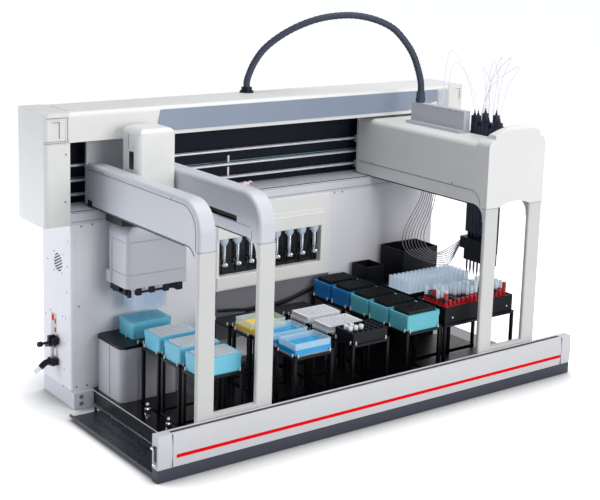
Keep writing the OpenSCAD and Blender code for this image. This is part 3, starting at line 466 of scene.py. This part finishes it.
SAG_FRONT = [(437, 384, SHROUD_ROOF), (436, 384, 560), (435, 405, 498), (435, 450, 425),
             (435, 467, 367), (438, 440, 332), (447, 368, 322), (460, 279, 329), (474, 240.4, 399)]
SAG_BACK = [(447, 333, SHROUD_ROOF), (447, 333, 560), (446, 349, 482), (446, 374, 421),
            (446, 376, 388), (448, 355, 363), (456, 318, 358), (464, 274, 385), (486, 240.4, 420)]


def lerp(a, b, *k):
    """Between points a and b, with its own fraction for each axis."""
    return tuple(p + (q - p) * f for p, q, f in zip(a, b, k))


def umbilical():
    """The ribbed hose from the bridge to the right arm's duct."""
    path = smooth_route(HOSE_ROUTE, 8)
    hose = tube("umbilical", path, HOSE_R, HOSE, None, sides=16, ribs=0.9)
    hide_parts("umbilical_hose")
    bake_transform(hose)


def sagging_line(i):
    """Fluid line i, from the shroud's roof down behind the probes."""
    k = (i - 1) / (PROBES - 1)
    route = [lerp(a, b, k, k, k) for a, b in zip(SAG_FRONT, SAG_BACK)]
    path = smooth_route(route, 8)
    line = tube(f"fluid_line_{i}", path, SAG_R, SAG_LINE, None, sides=8)
    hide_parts("fluid_lines")
    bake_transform(line)


def loop_line(i):
    """The line that rises above probe i and loops back to the comb or the duct."""
    foot, crest = LOOPS[i - 1]
    end = (PROBE_X, PROBE_Y + (i - 1) * PROBE_PITCH, PROBE_TOPS[i - 1] + FERRULE)
    route = [foot, lerp(foot, crest, 0, 0.3, 0.62), crest, lerp(end, crest, 0.3, 0.4, 0.6), end]
    path = smooth_route(route, 8)
    line = tube(f"loop_line_{i}", path, LOOP_R, LINE, None, sides=8)
    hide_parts("fluid_lines")
    if foot[2] == DUCT_TOP:
        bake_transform(line)
    else:
        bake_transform(line)


umbilical()
for number in range(1, PROBES + 1):
    sagging_line(number)
    loop_line(number)


# ---------------------------------------------------------------- labware
def grid(x0, y0, z, nx, ny, pitch, w, d):
    """Places of an nx by ny grid centred on a w by d footprint."""
    return [(x0 + w / 2 + (i - (nx - 1) / 2) * pitch, y0 + d / 2 + (j - (ny - 1) / 2) * pitch, z)
            for i in range(nx) for j in range(ny)]


def wells(x, rows):
    """Places of the 96 wells of each plate in a column."""
    return [p for y in rows for p in grid(x, y, STAND_Z, 12, 8, WELL_PITCH, PLATE_L, PLATE_W)]


def tip_deck(x, y, height, rim=7.5):
    """The deck that the tips of one box hang in."""
    return (x + rim, y + rim, STAND_Z + 4), (x + PLATE_L - rim, y + PLATE_W - rim, STAND_Z + height)


def tips():
    white_rows = [ROW0 + 2 + k * STAND_PITCH for k in range(3)]
    black_rows = [ROW0 + k * ROW_PITCH for k in range(5)]
    white = turned("white_tips", [(3.6, 40), (3.6, 51), (2.6, 51), (2.2, 46)],
                   wells(COL1, white_rows), TIP_WHITE, ROOT, sides=12)
    black = turned("black_tips", [(3.2, 46), (3.6, 60), (2.7, 60), (2.2, 56)],
                   wells(COL4, black_rows), TIP_BLACK, ROOT, sides=12)
    decks_white = boxes("white_tip_decks", [tip_deck(COL1, y, 46) for y in white_rows],
                        TIP_WHITE, ROOT)
    decks_black = boxes("black_tip_decks", [tip_deck(COL4, y, 51) for y in black_rows],
                        TIP_BLACK, ROOT)
    for obj in (white, black, decks_white, decks_black):
        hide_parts("tip_tops")


def tubes():
    """Clear tubes in the rear rack, red ones in the front rack, vials in the small one."""
    front, rear = (grid(COL5, y, STAND_Z, 15, 6, TUBE_PITCH, RACK_L, RACK_W)
                   for y in (ROW0, ROW0 + RACK_PITCH))
    glass = turned("glass_tubes", [(6.2, 6), (6.2, 84), (5.4, 84), (5.4, 10)], rear, GLASS, ROOT,
                   closed=False)
    rng = random.Random(4)
    capped = [p for p in front if rng.random() < 0.35]
    clear = [p for p in front if p[1] > ROW0 + 38 and p not in capped]
    tops = turned("clear_tube_tops", [(6.0, 62), (6.0, 90), (5.2, 90), (5.2, 64)], clear, GLASS,
                  ROOT, closed=False)
    red = turned("red_tubes", [(6.4, 6), (6.4, 66)], front, TUBE_RED, ROOT)
    caps = turned("dark_caps", [(6.5, 60), (7.2, 60.5), (7.2, 69), (6.4, 70)], capped, CAP_BLACK,
                  ROOT)
    lone = turned("end_tubes", [(6.4, 66), (6.4, 88)], [front[0], front[3], front[-6]], TUBE_RED,
                  ROOT)
    rim = 6
    sieve = boxes("tube_sieves", [((COL5 + rim, y + rim, STAND_Z + 40),
                                   (COL5 + RACK_L - rim, y + RACK_W - rim, STAND_Z + 45))
                                  for y in (ROW0, ROW0 + RACK_PITCH)], TIP_WHITE, ROOT)
    holes = grid(COL3, ROW0, STAND_Z, 6, 4, VIAL_PITCH, PLATE_L, PLATE_W)
    bottoms = turned("vial_bottoms", [(6.6, 4.5), (6.6, 9)], holes, CAP_BLACK, ROOT)
    vials = turned("white_vials", [(6.6, 9), (6.6, 34), (7.2, 34.5), (7.2, 42), (6.4, 43)],
                   [holes[k] for k in (1, 2, 5, 6, 9)], TIP_WHITE, ROOT)
    for obj in (caps, lone, sieve, bottoms, glass, tops, red, vials):
        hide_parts("sample_tubes")


def liquids():
    wall, bottom, level = 1.2, STAND_Z + 1.2, 228
    for k, look in enumerate((BLUE_LIQUID, BLUE_LIQUID, YELLOW_LIQUID)):
        y = ROW0 + k * STAND_PITCH
        boxes(f"liquid_{k + 1}", [((COL2 + wall, y + wall, bottom),
                                   (COL2 + PLATE_L - wall, y + PLATE_W - wall, level))],
              look, ROOT, bevel=3)


tips()
tubes()
liquids()


# ---------------------------------------------------------------- small parts
def studs(name, places, look, body, r=2.8, h=1.2, axis="Y"):
    """Screw heads; those on a left or front face stand out towards -X or -Y."""
    turn = 1 if axis == "Z" else -1
    turned(name, [(r, -0.4 * turn), (r, h * 0.6 * turn), (r * 0.6, h * turn)], places, look, body,
           sides=10, axis=axis)


def bend(x, y, z, ry, rz, steps, of):
    """Points of a quarter ellipse about (y, z), from its top forward and down."""
    turns = [math.pi / 2 * n / of for n in steps]
    return [(x, y - ry * math.sin(a), z + rz * math.cos(a)) for a in turns]


def housing_screws():
    side = [(483, 589), (404, 719), (409, 594), (333, 598), (237, 733), (255, 605), (178, 611),
            (100, 616), (49, 621), (435, 677), (437, 623), (381, 678), (381, 628), (255, 703),
            (256, 626)]
    studs("side_screws", [(-700, y, z) for z, y in side], SCREW, ROOT, r=2.6, axis="X")
    front = [(-676, 295), (-684, 58), (-651, 57), (-667, 526), (-633, 528), (229, 529), (261, 529),
             (158, 493), (178, 484), (-713, 734), (-715, 601)]
    studs("front_screws", [(x, 571.8, z) for x, z in front], SCREW, ROOT, r=3.2)
    studs("shelf_screws", [(-45 + 61.5 * n, 608, 568) for n in range(-9, 12)], SCREW, ROOT,
          r=2.4, axis="Z")


def cap_details():
    wall_marks("cap_lines", [(-770, 835, -706, 836.6), (-708, 771, -706.4, 836),
                             (-752, 823.4, -731, 824.8), (-732.4, 779, -731, 824),
                             (-776, 766, -702, 767.2), (-776, 771, -702, 772)], SEAM)
    boxes("bridge_dashes", [((-693, y, 848.8), (-691, y + d, 849.3))
          for y, d in ((608, 22), (640, 8), (656, 24), (690, 20))], SEAM, ROOT, bevel=0)


def rear_hoses():
    """Two dark hoses that lie behind the deck, under the pumps."""
    upper = [(-218, 556, 211), (-167, 556, 206), (-109, 556, 199), (-54, 556, 202),
             (-2, 556, 200), (67, 558, 210), (107, 562, 220), (148, 564, 230)]
    lower = [(-109, 564, 190), (-54, 562, 193), (-2, 562, 191), (67, 565, 202),
             (107, 566, 212), (148, 566, 222)]
    tube("rear_hose", smooth_route(upper, 5), 5, BLACK, ROOT)
    tube("rear_hose_2", smooth_route(lower, 5), 4, BLACK, ROOT)


def bridge_details():
    """Shelf, rails and sensor inside the opening of the bridge."""
    wall_marks("shelf_lines", [(SHELF_X0, 539.4, SHELF_X1, 540.8),
                               (SHELF_X0, 564.6, SHELF_X1, 565.6)], SEAM, 571.3)
    boxes("shelf_gap", [((SHELF_X0, 573, 567.8), (658, 582, 568.3))], DARK_SEAM, ROOT, bevel=0)
    wall_marks("rail_shade", [(SHELF_X0, z - 5.1, RAIL_X1, z - 0.4)
                              for z in (591.5, 632.5, 676.5)], INTERIOR, 671.6, 672.2)
    wall_marks("teal_strip", [(SHELF_X0, 640, RAIL_X1, 642.4)], TEAL, 688.6, 689.8)
    boxes("track_post", [((-107, 686.5, 590), (-101, 689.8, 660))], RAIL, ROOT)
    boxes("track_box", [((-164, 686, 624), (-108, 689.8, 645))], SLATE, ROOT)
    boxes("sensor_white", [((-79, 652, 568.2), (-36, 663, 577)),
                           ((-68, 651, 577), (-60, 655, 580)),
                           ((-48, 651, 577), (-40, 655, 580))], TIP_WHITE, ROOT)
    boxes("sensor_red", [((-81, 651.6, 568.2), (-70, 652.2, 574)),
                         ((-46, 651.6, 568.2), (-38, 652.2, 574))], RED, ROOT, bevel=0)


def inlet_details():
    """Vent, inlet plate, valve and drain on the housing's left side."""
    boxes("vent_back", [((-696.8, 624, 387), (-695.8, 681, 431))], CAP_BLACK, ROOT, bevel=0)
    boxes("inlet_plate", [((-700.6, 664, 180), (-699.6, 699, 252))], BEIGE, ROOT)
    boxes("inlet_marks", [((-701.2, 668, 196), (-700.4, 676, 210)),
                          ((-701.2, 668, 222), (-700.4, 674, 236))], BLACK, ROOT, bevel=0)
    boxes("inlet_rocker", [((-701.4, 680, 228), (-700.4, 692, 246))], RED, ROOT, bevel=0)
    boxes("valve_body", [((-722, 646, 165), (-700.5, 680, 186)),
                         ((-728, 658, 160), (-706, 670, 192)),
                         ((-744, 660, 168), (-722, 667, 175)),
                         ((-722, 650, 102), (-700.5, 682, 122))], BLACK, ROOT, bevel=2)
    turned("valve_handle", [(4, 0), (8, -4), (8, -14), (3, -18)], [(-744, 663, 171)], BLACK, ROOT,
           axis="X")
    pipe = [at(-712, 668, 166), at(-711, 669, 145), at(-712, 668, 122)]
    tube("valve_pipe", pipe, 5, BEIGE, ROOT)
    body = [(-708, 668, 112), (-722, 670, 112), (-736, 673, 106), (-746, 675, 96)]
    tube("drain_body", smooth_route(body, 5), 9, BLACK, ROOT)
    end = [(-742, 674, 99), (-752, 676, 92), (-764, 678, 84)]
    tube("drain_end", smooth_route(end, 4), 6.5, GLASS, ROOT)


def pump_details():
    pump_x = [-183 + 49 * n for n in range(8)]
    turned("funnels", [(3.2, 402), (6, 405), (11, 412), (13.4, 420), (13.8, 430), (12.6, 430)],
           [(x, 582, 0) for x in pump_x], TIP_CLEAR, ROOT, sides=18)
    turned("barrels", [(3.4, 352), (3.6, 354), (3.6, 404), (3.0, 406)],
           [(x, 578.5, 0) for x in pump_x], STEEL, ROOT)
    turned("barrel_bands", [(3.9, 352), (4.6, 354), (4.6, 360), (3.9, 362)],
           [(x, 580, 0) for x in pump_x], CHROME, ROOT)
    turned("end_balls", [(1, -7), (5, -5), (7, 0), (5, 5), (1, 7)],
           [(x + 6, 578, 344) for x in pump_x], CHROME, ROOT)
    boxes("pump_bar", [((-216, 566, 429), (188, 572.6, 472)), ((-216, 569, 472), (188, 572.6, 485)),
                       ((-216, 566, 271), (188, 572.6, 311)), ((177, 567, 311), (190, 572.6, 429))],
          WHITE, ROOT, bevel=1.5)
    # Painted shade: a grey sheet over the recess under the pump module, where it lies in shadow
    wall_marks("bay_shade", [(-216, 110, 214, 270)], BAY_SHADE, 571.4)
    wall_marks("bay_line", [(-216, 478, 214, 480), (213, 110, 215, 531)], SEAM)


def band():
    """Plain blue-grey band along the bridge, slanted at its left end."""
    outline = [(-416, 839), (-430, 776), (531, 776), (653, 800), (653, 839)]
    n = len(outline)
    verts = [at(x, y, z) for y in (570.5, WALL_Y) for x, z in outline]
    faces = [[*range(n)], [*range(2 * n - 1, n - 1, -1)]]
    faces += [[k, (k + 1) % n, (k + 1) % n + n, k + n] for k in range(n)]
    plate = piece("band_plate", verts, faces, BAND, ROOT)
    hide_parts("bridge_band")


def recess():
    """Hatched recess right of the band and the seams of the cap beyond it."""
    wall_marks("recess_plate", [(657, 776, 706, 836)], DUCT, 571.3, 572.4)
    bars, step = 7, 9
    for k in range(bars):
        z = 776 + step * k
        end = at(694, 571, z + 27) if k < bars - 1 else at(676, 571, z + 8)
        tube(f"recess_hatch_{k}", [at(658, 571, z), end], 0.9, TIP_WHITE, ROOT, sides=6)
    wall_marks("cap_seams_right", [(744, 836, 764, 837.4), (756, 800, 757.4, 830)], SEAM)


def beam_details():
    """Front beam: stripe, channel, seams and the balls of the tray's rod."""
    boxes("red_stripe", [((-696, -0.3, 58.4), (702, 3, 67.6))], RED, ROOT, bevel=0.3)
    boxes("beam_channel", [((-747, 11.5, 115.3), (744, 22.5, 117))], CHANNEL, ROOT, bevel=0)
    boxes("channel_line", [((-747, 20.5, 117), (744, 22.5, 123.4))], RED_LINE, ROOT, bevel=0)
    boxes("cap_seams", [((x - 0.5, -0.25, 36), (x + 0.5, 8, 122)) for x in (-707, 704)], SEAM,
          ROOT, bevel=0)
    boxes("beam_pocket", [((-749.6, 8, 54), (-748.6, 22, 96))], BLACK, ROOT, bevel=0)
    turned("beam_balls", [(1, -4), (4, -2), (5, 0), (4, 2), (1, 4)],
           [(-752, 26, 88), (-752, 16, 48)], CHROME, ROOT, axis="X")


def deck_details():
    boxes("deck_edge", [((-641, 34, 45), (-638, 560, 46)), ((-747, 478, 14), (-646, 489, 14.6))],
          SHELF, ROOT, bevel=0)
    holes = [(x, y, 14) for x in range(-729, -640, 27) for y in range(476, 60, -27)]
    turned("tray_holes", [(3, -0.3), (3, 0.15)], holes, CAP_BLACK, ROOT, sides=10)
    turned("knobs", [(7, 0), (9, 3), (9, 9), (5, 12), (5, 20), (7, 22), (3, 26)],
           [(-589, 332, 45), (-593, 212, 45)], CHROME, ROOT)
    turned("deck_motor", [(13, 0), (15, 3), (15, 22), (12, 26)], [(-200, 420, 60)], BLACK, ROOT,
           axis="Y")


def stand_pins():
    """White pins and black corner blocks that hold the plates on their stands."""
    spots = [(COL1, ROW0 + 2 + k * STAND_PITCH) for k in range(3)]
    spots += [(COL1, LOADER_Y - PLATE_W / 2)]
    spots += [(x, ROW0 + k * STAND_PITCH) for x in (COL2, COL3) for k in range(4)]
    spots += [(COL4, ROW0 + k * ROW_PITCH) for k in range(5)]
    out, along = 2.2, 9
    pins = [(x + u, y + v, STAND_Z) for x, y in spots
            for u, v in ((along, -out), (PLATE_L - along, -out), (-out, along),
                         (-out, PLATE_W - along))]
    turned("pins", [(2.2, -0.5), (2.2, 7), (1.6, 9.5)], pins, PIN, ROOT, sides=10)
    far, near, arm = 3.8, 0.6, 5
    low, high = STAND_Z - 0.2, STAND_Z + 5
    blocks = [((x - far, y - far, low), (x + arm, y - near, high)) for x, y in spots]
    blocks += [((x - far, y - far, low), (x - near, y + arm, high)) for x, y in spots]
    blocks += [((x + PLATE_L - arm, y - far, low), (x + PLATE_L + far, y - near, high))
               for x, y in spots]
    boxes("corner_blocks", blocks, STAND, ROOT)
    studs("rack_dots", [(COL5 + 30, ROW0, 226), (COL5 + RACK_L - 26, ROW0, 226)], TIP_WHITE, ROOT)


def left_arm_details():
    studs("arch_screws", [(LEFT_OUT, 537, 681), (LEFT_OUT, 166, 679)], SCREW, "left_bridge",
          r=2.2, axis="X")
    studs("inner_screws", [(LEFT_IN, 175, 567), (LEFT_IN, 73, 572)], SCREW, "left_bridge",
          r=2.2, axis="X")
    seam = [(-618.2, y, 675) for y in (625, 480, 300, 115)]
    seam += bend(-618.2, 115, 610, 65, 65, range(1, 9), 8) + [(-618.2, 50, 567)]
    tube("arch_seam", [at(*q) for q in seam], 0.9, SEAM, "left_bridge", sides=6)
    # Painted highlight: the lip's blue-grey tube stands for the gleam on the arch's edge
    lip = [(-617.6, y, 572) for y in (632, 480, 300, 92)]
    lip += bend(-617.6, 90, 533, 38, 39, range(1, 5), 6)
    tube("arch_lip", [at(*q) for q in lip], 1.8, EDGE_BLUE, "left_bridge", sides=8)


def leg_seams():
    """Seam between arch and leg, on the front and left face of all four legs."""
    legs = ((LEFT_OUT, "left_bridge"), (LEFT_IN, "left_bridge"), (RIGHT_OUT, "right_bridge"),
            (RIGHT_IN, "right_bridge"))
    for n, (x, body) in enumerate(legs):
        boxes(f"leg_seam_{n}", [((x + 1, 34.6, 563.3), (x + 52, 36, 564.5)),
                                ((x - 0.4, 36, 563.3), (x + 0.4, 50, 564.5))], SEAM, body, bevel=0)


def tower_details():
    boxes("tower_slot", [((-560.7, 469, 694), (-559.6, 493, 744))], CAP_BLACK, "left_pod", bevel=2)
    boxes("tower_seam", [((-560.4, 497, 748), (-559.6, 499, 790))], SEAM, "left_pod", bevel=0)
    boxes("inner_seam", [((-435.5, 80, 599.4), (-434.8, 228, 600.6)),
                         ((-435.5, 71, 574), (-434.8, 72.2, 592))], SEAM, "left_bridge", bevel=0)


def right_arm_details():
    studs("shroud_screws", [(RIGHT_OUT, 562, 614), (RIGHT_OUT, 185, 617)], SCREW, "right_bridge",
          r=2.4, axis="X")
    studs("duct_screws", [(448, y, 819) for y in (261, 290, 344, 415)], SCREW, "right_bridge",
          r=2.2, axis="X")
    seam = [(372.7, y, 611) for y in (627, 500, 360, 220, 130)]
    seam += bend(372.7, 99, 564, 38, 47, range(7), 6)
    tube("shroud_seam", [at(*q) for q in seam], 0.8, SEAM, "right_bridge", sides=6)
    lip = [(374.5, y, 569.5) for y in (560, 400, 240, 104)]
    lip += bend(374.5, 90, 529.5, 36, 40, range(1, 7), 6)
    tube("shroud_lip", [at(*q) for q in lip], 2.2, BLACK, "right_bridge", sides=8)
    boxes("leg_latch", [((427, 40, 418), (430, 46, 448))], BLACK, "right_bridge")
    collar = [(13.6, 824.5), (15.4, 826), (15.4, 838), (13.8, 840), (13.8, 856), (12.4, 858)]
    turned("hose_collar", collar, [(461, 440, 0)], HOSE, "right_bridge", sides=18)
    boxes("end_motor", [((-622, 601, 570), (-618, 623, 588))], BLACK, "left_bridge", bevel=3)
    boxes("end_motor_right", [((377, 600, 574), (391, 622, 590))], BLACK, "right_bridge", bevel=3)


def head_details():
    boxes("head_lines", [((-588, 433.6, 497.6), (-412, 434.2, 498.6)),
                         ((-588, 433.6, 403.6), (-412, 434.2, 404.6)),
                         ((-599.4, 446, 497.6), (-598.8, 516, 498.6)),
                         ((-599.4, 446, 403.6), (-598.8, 516, 404.6))],
          SOFT_SEAM, "left_head", bevel=0)
    boxes("head_clamps", [((-566, 436, 344), (-550, 450, 363)),
                          ((-524, 436, 346), (-508, 448, 363)),
                          ((-478, 436, 344), (-462, 448, 363)),
                          ((-436, 436, 342), (-418, 452, 363)),
                          ((-562, 438, 349), (-424, 443, 355))], BLACK, "left_head", bevel=1)
    top = 365.5
    boxes("head_clips", [((-584, 434, 362), (-570, 441, top)),
                         ((-542, 434, 360), (-530, 441, top)),
                         ((-496, 434, 360), (-484, 441, top)),
                         ((-416, 436, 362), (-404, 446, top))], CARRIAGE, "left_head", bevel=0.4)
    boxes("head_marks", [((x, 433.6, 361), (x + 3.5, 434.2, 363.4)) for x in (-577, -533, -489)],
          RED, "left_head", bevel=0)


for details in (housing_screws, cap_details, rear_hoses, bridge_details, inlet_details,
                pump_details, band, recess, beam_details, deck_details, stand_pins,
                left_arm_details, leg_seams, tower_details, right_arm_details, head_details):
    details()


# ---------------------------------------------------------------- floor and light
FLOOR_HALF = 30                                     # half the floor's side, in metres
FLOOR_DROP = 0.0005
NOOK_REACH = 0.25                                   # how far the soft shadow spreads


def camera_or(tree, ray):
    """One for camera rays and for rays of the other kind named."""
    paths = tree.nodes.new("ShaderNodeLightPath")
    seen = tree.nodes.new("ShaderNodeMath")
    seen.operation = "MAXIMUM"
    tree.links.new(paths.outputs["Is Camera Ray"], seen.inputs[0])
    tree.links.new(paths.outputs[ray], seen.inputs[1])
    return seen.outputs[0]


def switch(tree, seen, off, on, out):
    """Shader off where seen is zero and on where it is one, into the output node."""
    pick = tree.nodes.new("ShaderNodeMixShader")
    for socket, source in zip(pick.inputs, (seen, off.outputs[0], on.outputs[0])):
        tree.links.new(source, socket)
    tree.links.new(pick.outputs[0], out.inputs[0])


def floor():
    """White floor: darker near the robot in a painted soft shadow, and plain grey to all rays but
    the camera's.
    """
    h = FLOOR_HALF
    plane = piece("floor", [(-h, -h, 0), (h, -h, 0), (h, h, 0), (-h, h, 0)], [(0, 1, 2, 3)],
                  bpy.data.materials.new("floor"), None)
    plane.location.z = -FLOOR_DROP
    mat = plane.data.materials[0]
    mat.use_nodes = True
    tree = mat.node_tree
    tree.nodes.clear()
    out = tree.nodes.new("ShaderNodeOutputMaterial")
    plain = tree.nodes.new("ShaderNodeBsdfDiffuse")
    plain.inputs["Color"].default_value = (0.6, 0.6, 0.62, 1)
    pale = tree.nodes.new("ShaderNodeBsdfDiffuse")
    glow = tree.nodes.new("ShaderNodeEmission")
    both = tree.nodes.new("ShaderNodeAddShader")
    # Painted shadow: ambient occlusion darkens the floor's glow and colour near the robot
    painted_shadow_ao = tree.nodes.new("ShaderNodeAmbientOcclusion")
    painted_shadow_ao.inputs["Distance"].default_value = NOOK_REACH
    painted_shadow_ao.samples = 8
    for target, start, low, high in ((glow.inputs["Strength"], 0.35, 0.05, 0.68),
                                     (pale.inputs["Color"], 0.45, 0.2, 0.95)):
        fade = tree.nodes.new("ShaderNodeMapRange")
        fade.inputs["From Min"].default_value = start
        fade.inputs["To Min"].default_value = low
        fade.inputs["To Max"].default_value = high
        tree.links.new(painted_shadow_ao.outputs["AO"], fade.inputs["Value"])
        tree.links.new(fade.outputs["Result"], target)
    tree.links.new(pale.outputs[0], both.inputs[0])
    tree.links.new(glow.outputs[0], both.inputs[1])
    switch(tree, camera_or(tree, "Is Glossy Ray"), plain, both, out)


def sky():
    """Cool room light behind a background that the camera sees as white."""
    world = bpy.data.worlds.new("studio")
    bpy.context.scene.world = world
    world.use_nodes = True
    tree = world.node_tree
    tree.nodes.clear()
    out = tree.nodes.new("ShaderNodeOutputWorld")
    room = tree.nodes.new("ShaderNodeBackground")
    room.inputs["Color"].default_value = (0.86, 0.9, 1.0, 1)
    room.inputs["Strength"].default_value = 0.38
    white = tree.nodes.new("ShaderNodeBackground")
    white.inputs["Color"].default_value = (1, 1, 1, 1)
    switch(tree, camera_or(tree, "Is Transmission Ray"), room, white, out)


def lamp(name, place, aim, size, power, colour=(1, 1, 1)):
    """An area lamp of the given size in metres and power in watts."""
    data = bpy.data.lights.new(name, "AREA")
    data.shape = "RECTANGLE"
    data.size, data.size_y = size
    data.energy = power
    data.color = colour
    obj = bpy.data.objects.new(name, data)
    bpy.context.scene.collection.objects.link(obj)
    obj.location = place
    obj.rotation_euler = (Vector(aim) - Vector(place)).to_track_quat("-Z", "Y").to_euler()
    return obj


def lamps():
    lamp("key", (0.8, -5.4, 1.7), (0, 0, 0.4), (2.6, 2.2), 138, (1, 0.99, 0.97))
    lamp("top", (0.2, -0.6, 3.8), (0, 0, 0.4), (3.0, 2.4), 74)
    card = lamp("card", (2.9, 1.9, 0.75), (0.3, 0, 0.2), (2.6, 1.5), 16)
    card.visible_diffuse = False
    card.visible_camera = False
    lamp("left", (-1.75, 0.8, 0.15), (-0.7, 0.25, 0.4), (0.8, 0.8), 12, (0.94, 0.96, 1))


floor()
sky()
lamps()
